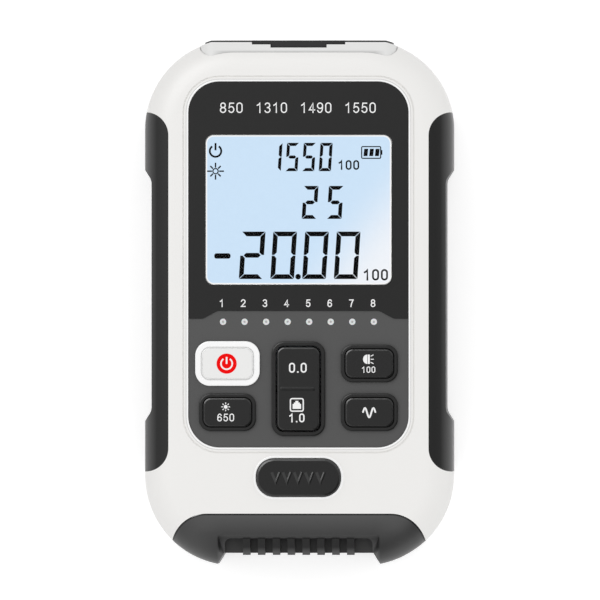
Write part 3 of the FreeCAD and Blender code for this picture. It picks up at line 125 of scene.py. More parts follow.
lamp_data = bpy.data.lights.new("wide_lamp", "AREA")
lamp_data.energy = 4.4
lamp_data.size = 0.5
lamp = bpy.data.objects.new("wide_lamp", lamp_data)
lamp.location = (-0.34, 0.38, 0.56)
lamp.rotation_euler = (math.radians(-32.3474), math.radians(-26.5651), 0)
lamp.visible_diffuse = False
bpy.context.scene.collection.objects.link(lamp)


def stage_sheet(name, corners, material):
    """One flat sheet of the studio from its four corners."""
    mesh = bpy.data.meshes.new(name)
    mesh.from_pydata(corners, [], [(0, 1, 2, 3)])
    mesh.materials.append(material)
    sheet = bpy.data.objects.new(name, mesh)
    bpy.context.scene.collection.objects.link(sheet)
    return sheet


floor_paint = bpy.data.materials.new("floor_paint")
add = nodes_of(floor_paint)
speckle = add("ShaderNodeTexNoise", Scale=40.0)
matt = add("ShaderNodeBsdfDiffuse", Color=ramp(add, speckle, first=0.78, last=0.82))
lift = add("ShaderNodeEmission", Color=full_white, Strength=0.5)
lifted = add("ShaderNodeAddShader", _0=matt, _1=lift)
upper = add("ShaderNodeMixShader", _0=looked_at(add), _1=matt, _2=lifted)
under = add("ShaderNodeBsdfTransparent")
side = add("ShaderNodeNewGeometry").outputs["Backfacing"]
add("ShaderNodeOutputMaterial", Surface=add("ShaderNodeMixShader", _0=side, _1=upper, _2=under))
floor_reach, floor_level = 2.0, cad_low.z - 0.05 * MM
stage_sheet("floor", [(x * floor_reach, y * floor_reach, floor_level)
                      for x, y in ((-1, -1), (1, -1), (1, 1), (-1, 1))], floor_paint)

card_felt = bpy.data.materials.new("card_felt")
add = nodes_of(card_felt)
fluff = add("ShaderNodeTexNoise", Scale=200.0)
felt = add("ShaderNodeBsdfDiffuse", Color=ramp(add, fluff, first=0.02, last=0.05))
add("ShaderNodeOutputMaterial", Surface=felt)
card = stage_sheet("dark_card", [(0.18, -1.0, 0.25), (1.0, -0.18, 0.25), (0.80, 0.02, 1.10),
                                 (-0.02, -0.80, 1.10)], card_felt)
card.visible_camera = False
card.visible_diffuse = False
card.visible_shadow = False
card.visible_transmission = False

# The camera looks down on the face through a long lens, leant a little to the right-hand side.
distance, frame_width, lean = 6.0, 142.4 * MM, math.radians(1.2)
aim_x, aim_y, aim_z = 0.05 * MM, 0.53 * MM, 15.5 * MM
camera_data = bpy.data.cameras.new("camera")
camera_data.lens = camera_data.sensor_width * distance / frame_width
camera_data.clip_end = 20.0
camera = bpy.data.objects.new("camera", camera_data)
camera.rotation_euler = (0, lean, 0)
camera.location = (aim_x + distance * math.sin(lean), aim_y, aim_z + distance * math.cos(lean))
bpy.context.scene.collection.objects.link(camera)
bpy.context.scene.camera = camera
bpy.context.scene.view_settings.view_transform = "Standard"

# ---- White case ----
# Two shells, the frame round the port bay and the battery door, injection moulded in a warm
# white plastic. The mould was spark eroded, so every face has a fine even grain.


def grey(step):
    """A tint whose red, green and blue are one screen step."""
    return tint(step, step, step)


def place_on(add):
    """Where a point lies on the object, in metres from the object's own origin."""
    return add("ShaderNodeTexCoord").outputs["Object"]


def axes(add):
    """The X, Y and Z sockets of that place."""
    return add("ShaderNodeSeparateXYZ", _0=place_on(add)).outputs


def blended(add, share, first, last):
    """A mix of two colours, all the first at a share of 0 and all the last at 1."""
    return add("ShaderNodeMix", data_type="RGBA", _0=share, A=first, B=last).outputs["Result"]


skin = bpy.data.node_groups.new("moulded_skin", "ShaderNodeTree")
for name, way, kind in (
        ("Colour", "INPUT", "Color"), ("Shade Shift", "INPUT", "Float"), ("Roughness", "INPUT", "Float"),
        ("Grain Size", "INPUT", "Float"), ("Colour", "OUTPUT", "Color"), ("Roughness", "OUTPUT", "Float"),
        ("Height", "OUTPUT", "Float")):
    skin.interface.new_socket(name, in_out=way, socket_type="NodeSocket" + kind)
add = adder(skin)
given = add("NodeGroupInput").outputs
place = place_on(add)
density = maths(add, "DIVIDE", 1.0, given["Grain Size"])
grain = add("ShaderNodeTexNoise", Vector=place, Scale=density, Detail=3.0)
flow = add("ShaderNodeTexNoise", Vector=place, Scale=45.0, Detail=2.0)
swing = maths(add, "MULTIPLY_ADD", maths(add, "SUBTRACT", flow, 0.5), given["Shade Shift"], 1.0)
shaded = add("ShaderNodeVectorMath", operation="SCALE", _0=given["Colour"], Scale=swing)
dulled = maths(add, "MULTIPLY_ADD", maths(add, "SUBTRACT", grain, 0.5), 0.12, given["Roughness"])
add("NodeGroupOutput", Colour=shaded, Roughness=dulled, Height=grain)


def moulded(name, colour, roughness, shift=0.06, grain_size=0.35 * MM, depth=0.02 * MM, relief=None,
            **settings):
    """A moulded finish: the skin group's colour, roughness and grain height on one shader. The colour is a
    tint or a function that draws a pattern. A relief function may give a second height and its depth."""
    material = bpy.data.materials.new(name)
    add = nodes_of(material)
    group = add("ShaderNodeGroup", node_tree=skin, Colour=colour(add) if callable(colour) else colour,
                Shade_Shift=shift, Roughness=roughness, Grain_Size=grain_size)
    bump = add("ShaderNodeBump", Height=group.outputs["Height"], Distance=depth, Strength=1.0)
    if relief:
        height, height_depth = relief(add)
        bump = add("ShaderNodeBump", Height=height, Distance=height_depth, Strength=1.0, Normal=bump)
    shader = add("ShaderNodeBsdfPrincipled", Base_Color=group.outputs["Colour"],
                 Roughness=group.outputs["Roughness"], Normal=bump, **settings)
    add("ShaderNodeOutputMaterial", Surface=shader)
    return material


def dress(material, *names):
    """Gives CAD nodes a finish in all their slots."""
    for name in names:
        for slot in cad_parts[name].material_slots:
            slot.material = material


def seam_painted_shade(add):
    """The frame's white, a little greyer than the case's, with painted shade darkening the middle of its
    face where it runs into the seam with the shells.
    """
    own = axes(add)
    near = ramp(add, own["Y"], 59.75 * MM, 59.3 * MM)
    middle = ramp(add, maths(add, "ABSOLUTE", own["X"]), 20.5 * MM, 18.0 * MM)
    return blended(add, maths(add, "MULTIPLY", near, middle), tint(230, 230, 229), tint(205, 205, 204))


case_white = moulded("case_white", tint(241, 240, 238), 0.42, shift=0.02, Specular_IOR_Level=0.3)
# The port frame's white carries a painted shade along its seam with the shells
frame_white = moulded("frame_white", seam_painted_shade, 0.42, shift=0.02, Specular_IOR_Level=0.3)
dress(case_white, "front_shell", "back_shell", "battery_door")
dress(frame_white, "port_frame")

# ---- Side grips ----
# Soft black rubber moulded over both sides of the case, matt on the face, with a painted sheen
# that makes it greyer on the flanks.


def flank_painted_sheen(add):
    """Black near the face and greyer on the flank, a painted sheen: the shade follows the distance from the
    middle plane.
    """
    flank = ramp(add, maths(add, "ABSOLUTE", axes(add)["X"]), 33.6 * MM, 36.2 * MM)
    return blended(add, flank, grey(29), grey(80))


grip_rubber = moulded("grip_rubber", flank_painted_sheen, 0.5, shift=0.12, grain_size=0.5 * MM,
                      Specular_IOR_Level=0.2, Sheen_Weight=0.2, Sheen_Roughness=0.4)
dress(grip_rubber, "left_grip", "right_grip")

# ---- Front panel ----
# Two dark bezels sunk in the face, near-black round the display and grey round the keys. The white face
# stands in a polished raised lip round them, painted whiter as a painted highlight, with a grey line
# outside it, a painted shadow where a fine groove's step would be shaded.


def quads(rows, columns, close_rows=False, close_columns=False):
    """Four-sided faces of a grid of points kept row by row; it may close on itself either way."""
    row = np.arange(rows if close_rows else rows - 1)[:, None]
    column = np.arange(columns if close_columns else columns - 1)[None, :]
    after_row, after_column = (row + 1) % rows, (column + 1) % columns
    faces = np.stack(np.broadcast_arrays(
        row * columns + column, row * columns + after_column,
        after_row * columns + after_column, after_row * columns + column), -1)
    return faces.reshape(-1, 4).tolist()


def rounded(width, height, corner, middle=(0, 0), steps=14):
    """Points and outward directions of a rounded rectangle: each corner is an arc of the given
    radius about a centre set in by it from both sides."""
    turn = np.linspace(0, math.pi / 2, steps)
    angle = np.concatenate([turn + quarter * math.pi / 2 for quarter in range(4)])
    out = np.stack([np.cos(angle), np.sin(angle)], -1)
    side = np.repeat([(1, 1), (-1, 1), (-1, -1), (1, -1)], steps, axis=0)
    centre = side * np.array([width / 2 - corner, height / 2 - corner]) + np.array(middle)
    return centre + out * corner, out


def carried(points, out, profile):
    """A closed profile carried round a closed path: each place is path + outward x profile.x, and its
    height is profile.y."""
    profile = np.array(profile)
    flat = points[:, None, :] + out[:, None, :] * profile[None, :, :1]
    height = np.broadcast_to(profile[None, :, 1:], flat.shape[:2] + (1,))
    grid = np.concatenate([flat, height], -1)
    return grid.reshape(-1, 3), quads(len(points), len(profile), True, True)


def piece(name, parts, material, body, smooth=False):
    """One object from several parts, each with points in millimetres, riding on a body."""
    points, faces, count = [], [], 0
    for part_points, part_faces in parts:
        points.append(np.array(part_points) * MM)
        faces += [[corner + count for corner in face] for face in part_faces]
        count += len(part_points)
    mesh = bpy.data.meshes.new(name)
    mesh.from_pydata(np.concatenate(points).tolist(), [], faces)
    shape = bmesh.new()
    shape.from_mesh(mesh)
    bmesh.ops.remove_doubles(shape, verts=shape.verts, dist=0.0005 * MM)
    bmesh.ops.recalc_face_normals(shape, faces=shape.faces)
    shape.to_mesh(mesh)
    shape.free()
    mesh.materials.append(material)
    mesh.polygons.foreach_set("use_smooth", [smooth] * len(mesh.polygons))
    made = bpy.data.objects.new(name, mesh)
    bpy.context.scene.collection.objects.link(made)
    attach(made, body)


display_dark = moulded("display_dark", grey(27), 0.5, shift=0.05, depth=0.01 * MM, Specular_IOR_Level=0.2)
keypad_grey = moulded("keypad_grey", grey(80), 0.5, shift=0.05, depth=0.012 * MM, Specular_IOR_Level=0.25)
dress(display_dark, "display_bezel")
dress(keypad_grey, "keypad_bezel")

face_level = 31.0
panel_width, panel_bottom, panel_top, panel_corner = 52.2, -34.4, 52.3, 7.4
panel_path, panel_out = rounded(panel_width, panel_top - panel_bottom, panel_corner,
                                (0, (panel_top + panel_bottom) / 2))
# The raised lip is modelled; its whiter white is a painted highlight along its bevel
lip_highlight_white = moulded("lip_highlight_white", grey(254), 0.3, shift=0.01, Specular_IOR_Level=0.4)
piece("panel_lip", [carried(panel_path, panel_out, [
    (0.01, face_level - 0.3), (0.01, face_level + 0.03), (0.1, face_level + 0.06),
    (0.26, face_level + 0.06), (0.38, face_level), (0.38, face_level - 0.3)])],
    lip_highlight_white, "case")
# A grey ring just outside the lip is painted shadow, where a fine groove's step would be shaded
groove_shadow_grey = moulded("groove_shadow_grey", tint(212, 212, 211), 0.5, shift=0.04, Specular_IOR_Level=0.2)
piece("panel_shadow_line", [carried(panel_path, panel_out, [
    (0.42, face_level - 0.05), (0.42, face_level + 0.012), (0.6, face_level + 0.012),
    (0.6, face_level - 0.05)])], groove_shadow_grey, "case")

# ---- Display ----
# A reflective crystal display lit from behind: pale blue glass with black segments. Its front
# film is bonded under a clear acrylic lens. A thin white ring round the border glows as painted light.


def prism(outline, low, high):
    """A flat outline between two levels: the outline twice, a wall between, and both ends closed."""
    outline = np.array(outline, float)
    count = len(outline)
    points = np.concatenate([np.column_stack([outline, np.full(count, level)]) for level in (low, high)])
    ends = [list(range(count))[::-1], list(range(count, 2 * count))]
    return points, quads(2, count, False, True) + ends


def stroke(path, half_width, low, high, closed=False, narrow=0.0):
    """A flat band along a path: each point is moved by the half width along the mean of its
    two sides' normals, divided by the cosine of half the turn. Its top may be narrower than its foot."""
    path = np.array(path, float)
    before = path - np.roll(path, 1, axis=0)
    after = np.roll(path, -1, axis=0) - path
    if not closed:
        before[0], after[-1] = after[0], before[-1]
    normals = [np.stack([-way[:, 1], way[:, 0]], -1) / np.linalg.norm(way, axis=1, keepdims=True)
               for way in (before, after)]
    mean = normals[0] + normals[1]
    mean /= np.maximum((mean * normals[0]).sum(1, keepdims=True), 0.3)
    top_half = half_width - narrow
    section = ((half_width, low), (-half_width, low), (-top_half, high), (top_half, high))
    grid = np.stack([np.column_stack([path + mean * offset, np.full(len(path), level)])
                     for offset, level in section], 1)
    faces = quads(len(path), len(section), closed, True)
    if not closed:
        last = len(section) * (len(path) - 1)
        faces += [[0, 1, 2, 3], [last + 3, last + 2, last + 1, last]]
    return grid.reshape(-1, 3), faces


def arc(middle, radius, start=0.0, end=360.0, steps=24, closed=False):
    """Points on a circle or, with two radii, an ellipse: middle + radius x (cosine, sine) of angles from
    start to end in degrees. A closed one leaves out its last point, which would repeat the first."""
    angle = np.radians(np.linspace(start, end, steps, endpoint=not closed))
    return np.array(middle) + np.array(radius) * np.stack([np.cos(angle), np.sin(angle)], -1)


def glowing(name, light, base):
    """A lit film: a dull dark shader that sends out the colour its light function gives."""
    material = bpy.data.materials.new(name)
    add = nodes_of(material)
    shader = add("ShaderNodeBsdfPrincipled", Base_Color=base, Roughness=0.3, Specular_IOR_Level=0.05,
                 Emission_Color=light(add), Emission_Strength=1.0)
    add("ShaderNodeOutputMaterial", Surface=shader)
    return material


def sky_fade(add):
    """The colour of the lit film: a smooth blend from pale blue to near white along a slanting line,
    with a fine ripple of the cell in it."""
    own = axes(add)
    slope = maths(add, "MULTIPLY_ADD", own["X"], -1.2, own["Y"])
    fade = ramp(add, slope, 14.0 * MM, -20.0 * MM, shape="SMOOTHERSTEP")
    glow = blended(add, fade, tint(203, 226, 247), tint(240, 243, 248))
    cell_noise = add("ShaderNodeTexNoise", Vector=place_on(add), Scale=900.0, Detail=1.0)
    ripple = ramp(add, cell_noise, first=0.985, last=1.015)
    return add("ShaderNodeVectorMath", operation="SCALE", _0=glow, Scale=ripple)


def border_painted_glow(add):
    """The painted glow of the border: near white, a little uneven."""
    return ramp(add, add("ShaderNodeTexNoise", Vector=place_on(add), Scale=300.0), first=0.92, last=1.0)


film_level, ink_low, ink_high = 29.55, 29.552, 29.6
film_path, film_out = rounded(43.84, 35.24, 1.85, (0, 21.9))
display_blue = glowing("display_blue", sky_fade, tint(12, 13, 14))
dress(display_blue, "display_glass")
piece("display_film", [prism(film_path, film_level - 0.03, film_level)],
      display_blue, "case")
# The white ring round the border glows though no lamp is there: painted light
border_glow_white = glowing("border_glow_white", border_painted_glow, grey(12))
piece("display_border", [carried(film_path, film_out, [
    (0.0, film_level - 0.03), (0.0, film_level + 0.02), (-0.28, film_level + 0.02),
    (-0.28, film_level - 0.03)])], border_glow_white, "case")

lens_clear = bpy.data.materials.new("lens_clear")
add = nodes_of(lens_clear)
wipe = add("ShaderNodeTexNoise", Vector=place_on(add), Scale=30.0, Detail=2.0)
acrylic = add("ShaderNodeBsdfPrincipled", Base_Color=full_white, IOR=1.15, Specular_IOR_Level=0.1,
              Roughness=ramp(add, wipe, first=0.01, last=0.04), Transmission_Weight=1.0)
add("ShaderNodeOutputMaterial", Surface=acrylic)
dress(lens_clear, "display_lens")


def segments(lit, middle_x, low, width, height, bar, gap):
    """Lit segments of one seven-bar figure, each a flat outline with mitred ends. A point is
    then leant: x moves by the slant times the height above the middle."""
    half, slant = height / 2, 0.065
    bars = {
        "a": [(gap, height), (width - gap, height), (width - bar - gap, height - bar),
              (bar + gap, height - bar)],
        "b": [(width, height - gap), (width, half + gap), (width - bar / 2, half + gap),
              (width - bar, half + bar * 0.6), (width - bar, height - bar - gap)],
        "c": [(width, half - gap), (width, gap), (width - bar, bar + gap),
              (width - bar, half - bar * 0.6), (width - bar / 2, half - gap)],
        "d": [(gap, 0), (bar + gap, bar), (width - bar - gap, bar), (width - gap, 0)],
        "e": [(0, gap), (0, half - gap), (bar / 2, half - gap), (bar, half - bar * 0.6), (bar, bar + gap)],
        "f": [(0, half + gap), (0, height - gap), (bar, height - bar - gap), (bar, half + bar * 0.6),
              (bar / 2, half + gap)],
        "g": [(bar * 0.7, half), (bar * 1.2, half + bar / 2), (width - bar * 1.2, half + bar / 2),
              (width - bar * 0.7, half), (width - bar * 1.2, half - bar / 2), (bar * 1.2, half - bar / 2)],
    }
    shapes = []
    for name in lit:
        outline = np.array(bars[name])
        outline[:, 0] += (outline[:, 1] - half) * slant + middle_x - width / 2
        outline[:, 1] += low
        shapes.append(prism(outline, ink_low, ink_high))
    return shapes


# Centre lines of plain printed figures, one unit high and about half as wide, with True for a
# line that closes on itself
six = [(arc((0, 0.29), (0.27, 0.29), closed=True), True),
       (np.concatenate([arc((0.02, 0.56), (0.27, 0.44), 35, 180, 12), [(-0.265, 0.32)]]), False)]
five_arm = [(0.24, 0.98), (-0.16, 0.98), (-0.225, 0.5)]
FIGURE_LINES = {
    "0": [(np.concatenate([arc((0, 0.73), 0.27, 0, 180, 27), arc((0, 0.27), 0.27, 180, 360, 27)]), True)],
    "1": [(np.array([(-0.2, 0.76), (-0.04, 0.84), (0.07, 1.0), (0.07, 0.0)]), False)],
    "2": [(np.concatenate([arc((0, 0.73), 0.27, 172, -38, 14), [(-0.27, 0.02), (0.28, 0.02)]]), False)],
    "3": [(arc((0, 0.76), (0.24, 0.24), 158, -90, 14), False),
          (arc((0, 0.26), (0.27, 0.26), 90, -158, 14), False)],
    "4": [(np.array([(0.13, 0.0), (0.13, 0.98), (-0.27, 0.27), (0.3, 0.27)]), False)],
    "5": [(np.concatenate([five_arm, arc((0, 0.31), (0.27, 0.31), 128, -155, 14)]), False)],
    "6": six,
    "7": [(np.array([(-0.26, 0.98), (0.26, 0.98), (0.02, 0.45), (-0.07, 0.0)]), False)],
    "8": [(arc((0, 0.755), (0.235, 0.245), closed=True), True),
          (arc((0, 0.26), (0.275, 0.26), closed=True), True)],
    "9": [((0, 1) - line, closed) for line, closed in six],
}


def figures(text, height, middle, half, low, high):
    """Plain figures drawn as flat bands along their centre lines, with square ends. A figure takes 0.78 of
    its height across and a point half of that, and the row is centred on the middle. Where a figure has
    two lines, the second lies a layer higher, so that their tops don't share a plane."""
    unit, layer_height = height - 2 * half, 0.01
    room = np.array([0.39 if sign == "." else 0.78 for sign in text]) * height
    across = np.cumsum(room) - room / 2 - room.sum() / 2 + middle[0]
    foot = middle[1] - unit / 2
    shapes = []
    for sign, x in zip(text, across):
        if sign == ".":
            shapes.append(stroke([(x, foot - half), (x, foot + half)], half * 1.1, low, high))
            continue
        for layer, (line, closed) in enumerate(FIGURE_LINES[sign]):
            path = line * unit + (x, foot)
            if not closed:
                for end, before in ((0, 1), (-1, -2)):
                    beyond = path[end] - path[before]
                    path[end] = path[end] + beyond / np.linalg.norm(beyond) * half
            shapes.append(stroke(path, half, low, high + layer_height * layer, closed))
    return shapes


def standby_sign(middle, radius, ring_half, foot, top, bar_half, low, high):
    """A ring open at the top, and an upright bar between two heights above its middle."""
    bar = [(middle[0], middle[1] + foot), (middle[0], middle[1] + top)]
    return [stroke(arc(middle, radius, 125, 415), ring_half, low, high), stroke(bar, bar_half, low, high)]


def light_rays(middle, start, ends, half, low, high):
    """Eight short strokes that point out from a middle, 45 degrees apart and ending at two distances
    in turn."""
    shapes = []
    for ray in range(8):
        way = np.array([math.cos(ray * math.pi / 4), math.sin(ray * math.pi / 4)])
        shapes.append(stroke([middle + way * start, middle + way * ends[ray % 2]], half, low, high))
    return shapes


BARS_LIT = {"0": "abcdef", "1": "bc", "2": "abged", "5": "afgcd"}
ink = []
for text, middles, low, width, height, bar, gap in (
        ("1550", (-5.44, -1.48, 2.48, 6.44), 31.03, 2.9, 6.71, 0.74, 0.07),
        ("25", (2.74, 8.69), 19.74, 3.5, 7.8, 0.9, 0.07),
        ("2000", (-10.98, -3.52, 4.02, 11.51), 5.5, 5.62, 11.23, 1.12, 0.09)):
    for figure, middle_x in zip(text, middles):
        ink += segments(BARS_LIT[figure], middle_x, low, width, height, bar, gap)
# The lowest row's point and minus sign, and a small figure beside two of the rows
ink.append(prism(arc((-0.1, 6.05), 0.66, closed=True), ink_low, ink_high))
ink.append(prism(rounded(3.86, 1.27, 0.5, (-18.03, 10.96), steps=6)[0], ink_low, ink_high))
ink += figures("100", 2.3, (11.86, 32.5), 0.19, ink_low, ink_high)
ink += figures("100", 2.7, (18.24, 6.5), 0.21, ink_low, ink_high)
# Charge sign: an outline with a small nose and three slanting bars
charge_path = rounded(4.5, 2.77, 0.25, (17.2, 35.46), steps=4)[0]
ink.append(stroke(charge_path, 0.13, ink_low, ink_high, closed=True))
ink.append(prism([(19.5, 34.9), (19.85, 34.9), (19.85, 36.04), (19.5, 36.04)], ink_low, ink_high))
for bar_x in (15.94, 17.29, 18.64):
    ink.append(prism([(bar_x - 0.56, 34.6), (bar_x + 0.38, 34.6),
                      (bar_x + 0.56, 36.33), (bar_x - 0.38, 36.33)], ink_low, ink_high))
# Standby sign and light sign on the left
ink += standby_sign((-19.66, 35.8), 1.36, 0.23, 0.17, 1.9, 0.23, ink_low, ink_high)
light_middle = np.array((-19.66, 31.03))
ink.append(stroke(arc(light_middle, 0.62, closed=True), 0.14, ink_low, ink_high, closed=True))
ink += light_rays(light_middle, 0.85, (2.0, 1.75), 0.17, ink_low, ink_high)
segment_black = moulded("segment_black", tint(4, 5, 6), 0.6, shift=0.05, Specular_IOR_Level=0.02)
piece("display_segments", ink, segment_black, "case")

# ---- Printing and lamp windows on the panel ----
# Screen-printed white figures: a row of numbers over the eight lamp windows, and plain
# wavelengths above the display. The windows are milky pins of the light guide.
print_white = moulded("print_white", grey(246), 0.6, shift=0.03, Specular_IOR_Level=0.2)
dark_level = 30.95
print_low, print_high = dark_level - 0.02, dark_level + 0.02
number_pitch, number_middle_x, number_y = 5.12, -0.26, -0.22
wavelength_y = 46.05
printing = []
for number in range(8):
    number_x = number_middle_x + (number - 3.5) * number_pitch
    printing += figures(str(number + 1), 1.85, (number_x, number_y), 0.125, print_low, print_high)
for text, text_x in (("850", -15.9), ("1310", -6.36), ("1490", 4.14), ("1550", 14.64)):
    printing += figures(text, 2.5, (text_x, wavelength_y), 0.135, print_low, print_high)
piece("printed_numbers", printing, print_white, "case")

window_milk = bpy.data.materials.new("window_milk")
add = nodes_of(window_milk)
cloud = add("ShaderNodeTexNoise", Vector=place_on(add), Scale=1500.0)
milky = add("ShaderNodeBsdfPrincipled", Base_Color=ramp(add, cloud, first=0.62, last=0.85), Roughness=0.3,
            Subsurface_Weight=0.2, Subsurface_Scale=0.5 * MM)
add("ShaderNodeOutputMaterial", Surface=milky)
dress(window_milk, "light_guide")
# A small grey spot sits in the middle of each window
window_pitch, spot_radius = 5.1, 0.27
guide_low, guide_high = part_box("light_guide")
window_y, window_top = (guide_low.y + guide_high.y) / 2 / MM, guide_high.z / MM
window_spot_grey = moulded("window_spot_grey", grey(172), 0.3, shift=0.05, Specular_IOR_Level=0.4)
piece("window_spots", [
    prism(arc(((number - 3.5) * window_pitch, window_y), spot_radius, steps=16, closed=True),
          window_top - 0.03, window_top + 0.015) for number in range(8)], window_spot_grey, "case")

# ---- Keys ----
# Five rubber-domed caps, each in a raised collar. The power key is white with a red disc,
# the others near-black with white marks printed on top.


def divider(add):
    """A moulded ridge across the long key: its height is a smooth step down with the distance
    from a short line, which is the length of what is left of the place after clamping it to the line."""
    line_middle, line_half, fall, rise = (-0.2 * MM, -20.55 * MM, 0.0), 3.7 * MM, 0.5 * MM, 0.24 * MM
    shifted = add("ShaderNodeVectorMath", operation="SUBTRACT", _0=place_on(add), _1=line_middle)
    own = add("ShaderNodeSeparateXYZ", _0=shifted).outputs
    run = add("ShaderNodeClamp", Value=own["X"], Min=-line_half, Max=line_half)
    rest = add("ShaderNodeCombineXYZ", X=maths(add, "SUBTRACT", own["X"], run), Y=own["Y"])
    away = add("ShaderNodeVectorMath", operation="LENGTH", _0=rest).outputs["Value"]
    return ramp(add, away, 0.0, fall, 1.0, 0.0, shape="SMOOTHSTEP"), rise


dark_finish = dict(shift=0.06, Specular_IOR_Level=0.25)
collar_dark = moulded("collar_dark", grey(27), 0.34, **dark_finish)
edge_dark = moulded("edge_dark", grey(16), 0.3, shift=0.04, Specular_IOR_Level=0.6)
collar_white = moulded("collar_white", grey(253), 0.3, shift=0.01, Specular_IOR_Level=0.4)
key_dark = moulded("key_dark", grey(24), 0.36, **dark_finish)
long_key_dark = moulded("long_key_dark", grey(24), 0.36, relief=divider, **dark_finish)
key_white = moulded("key_white", tint(238, 238, 237), 0.35, shift=0.02, Specular_IOR_Level=0.35)
dress(key_dark, "laser_key", "lamp_key", "wavelength_key")
dress(long_key_dark, "reference_key")
dress(key_white, "power_key")

# Each key's middle, its collar's width, height and corner, and how wide the collar's band is
KEYS = {
    "power": ((-16.8, -14.5), 15.2, 10.5, 3.4, 1.25),
    "laser": ((-16.8, -26.05), 13.3, 8.7, 2.7, 0.75),
    "reference": ((0, -20.5), 12.5, 22.2, 2.9, 0.85),
    "lamp": ((16.8, -14.5), 13.3, 8.7, 2.7, 0.75),
    "wavelength": ((16.8, -26.05), 13.3, 8.7, 2.7, 0.75),
}
keypad_level, collar_top, cap_top = 30.75, 31.56, 32.004
collar_foot = keypad_level - 0.05
slip_gap, rocker_gap = 0.15, 0.35
for key, (middle, width, height, corner, band) in KEYS.items():
    path, out = rounded(width, height, corner, middle)
    flare, lip = (0.02, 0.1) if key == "power" else (0.1, 0.005)
    collar_finish, edge_finish = (collar_white, key_white) if key == "power" else (collar_dark, edge_dark)
    cap_gap = rocker_gap if key == "reference" else slip_gap
    piece(f"{key}_collar", [carried(path, out, [
        (flare, collar_foot), (flare - 0.01, 31.3), (0.02, 31.46), (-0.22, collar_top),
        (-band + 0.02, collar_top), (-band - lip, 31.5), (-band - lip, collar_foot)])],
        collar_finish, "case")
    piece(f"{key}_cap_edge", [carried(path - out * (band + cap_gap), out, [
        (-0.03, 31.3), (-0.03, 31.65), (-0.15, 31.9), (-0.42, cap_top), (-0.48, 31.9)])],
        edge_finish, f"{key}_key_body")

mark_low, mark_high = 31.95, 32.01
power_red = moulded("power_red", tint(243, 0, 3), 0.4, shift=0.02, Specular_IOR_Level=0.05)
power_middle = (-16.98, -14.53)
piece("power_disc", [prism(arc(power_middle, 2.39, steps=48, closed=True), mark_low, mark_high)],
      power_red, "power_key_body")
piece("power_sign", standby_sign(power_middle, 1.34, 0.18, -0.07, 1.58, 0.2, mark_low, mark_high + 0.005),
      print_white, "power_key_body")

burst_middle = np.array((-17.2, -24.76))
piece("laser_marks", [
    prism(arc(burst_middle, 0.45, steps=16, closed=True), mark_low, mark_high),
    *light_rays(burst_middle, 0.64, (1.05, 1.05), 0.1, mark_low, mark_high),
    *figures("650", 1.85, (-17.2, -27.28), 0.115, mark_low, mark_high)],
    print_white, "laser_key_body")

lamp_middle = np.array((16.32, -13.49))
lamp_glass = np.array([(0.12, -1.1), (0.6, -1.1), (0.6, 1.1), (0.12, 1.1)])
lamp_marks = [prism(arc(lamp_middle, (1.0, 1.1), 90, 270, 16), mark_low, mark_high),
              prism(lamp_middle + lamp_glass, mark_low, mark_high)]
for tilt in (-28, 0, 28):
    way = np.array([math.cos(math.radians(tilt)), math.sin(math.radians(tilt))])
    foot = lamp_middle + (0.8, 1.5 * way[1])
    lamp_marks.append(stroke([foot, foot + way * 0.75], 0.1, mark_low, mark_high))
lamp_marks += figures("100", 1.5, (16.6, -15.95), 0.105, mark_low, mark_high)
piece("lamp_marks", lamp_marks, print_white, "lamp_key_body")

turn = np.linspace(0, 1, 33)
wave_line = np.column_stack([16.77 + (turn - 0.5) * 3.0, -26.14 + 1.1 * np.sin(turn * 3 * math.pi)])
piece("wavelength_mark", [stroke(wave_line, 0.2, mark_low, mark_high)],
      print_white, "wavelength_key_body")

icon_middle = (-0.35, -24.29)
socket_half = [(1.0, -0.95), (1.0, 0.2), (0.7, 0.2), (0.7, 0.55), (0.35, 0.55), (0.35, 0.95)]
socket_shape = np.array([(-1.0, -0.95), *socket_half, *[(-x, y) for x, y in socket_half[:0:-1]]])
piece("reference_marks", [
    *figures("0.0", 2.36, (-0.12, -15.5), 0.17, mark_low, mark_high),
    stroke(rounded(3.03, 2.96, 0.4, icon_middle, steps=6)[0], 0.15, mark_low, mark_high, closed=True),
    prism(socket_shape + icon_middle, mark_low, mark_high),
    *figures("1.0", 2.1, (-0.4, -27.37), 0.16, mark_low, mark_high)],
    print_white, "reference_key_body")

# ---- Release button ----
# One broad pill-shaped button in the same near-black plastic. Five arrowheads stand in its
# top, pointing at the remote unit that it lets go.
dress(key_dark, "release_button")
release_middle = (0, -41.5)
arrow_middle_x, arrow_pitch, arrow_half, arrow_back, arrow_tip = -0.05, 2.65, 0.95, -40.25, -42.6
arrows = []
for step in range(5):
    x = arrow_middle_x + (step - 2) * arrow_pitch
    arrows.append(stroke([(x - arrow_half, arrow_back), (x, arrow_tip), (x + arrow_half, arrow_back)],
                         0.36, 31.69, 31.83, narrow=0.3))
piece("release_arrows", arrows, edge_dark, "release_button_body")
piece("release_edge", [carried(*rounded(19.9, 8.9, 4.2, release_middle), [
    (-0.03, 31.0), (-0.03, 31.35), (-0.14, 31.57), (-0.5, 31.704), (-0.56, 31.6)])],
    edge_dark, "release_button_body")
# The lip round the release opening has the same painted highlight
piece("release_lip", [carried(*rounded(20.2, 9.2, 4.35, release_middle), [
    (0.02, face_level - 0.3), (0.02, face_level + 0.03), (0.12, face_level + 0.06),
    (0.4, face_level + 0.05), (0.52, face_level), (0.52, face_level - 0.3)])],
    lip_highlight_white, "case")

# ---- Remote unit ----
# The pull-out end in dark grey plastic, with eight ribs in a coarse finger scoop. Its own
# eight-way socket opens in the end notch.


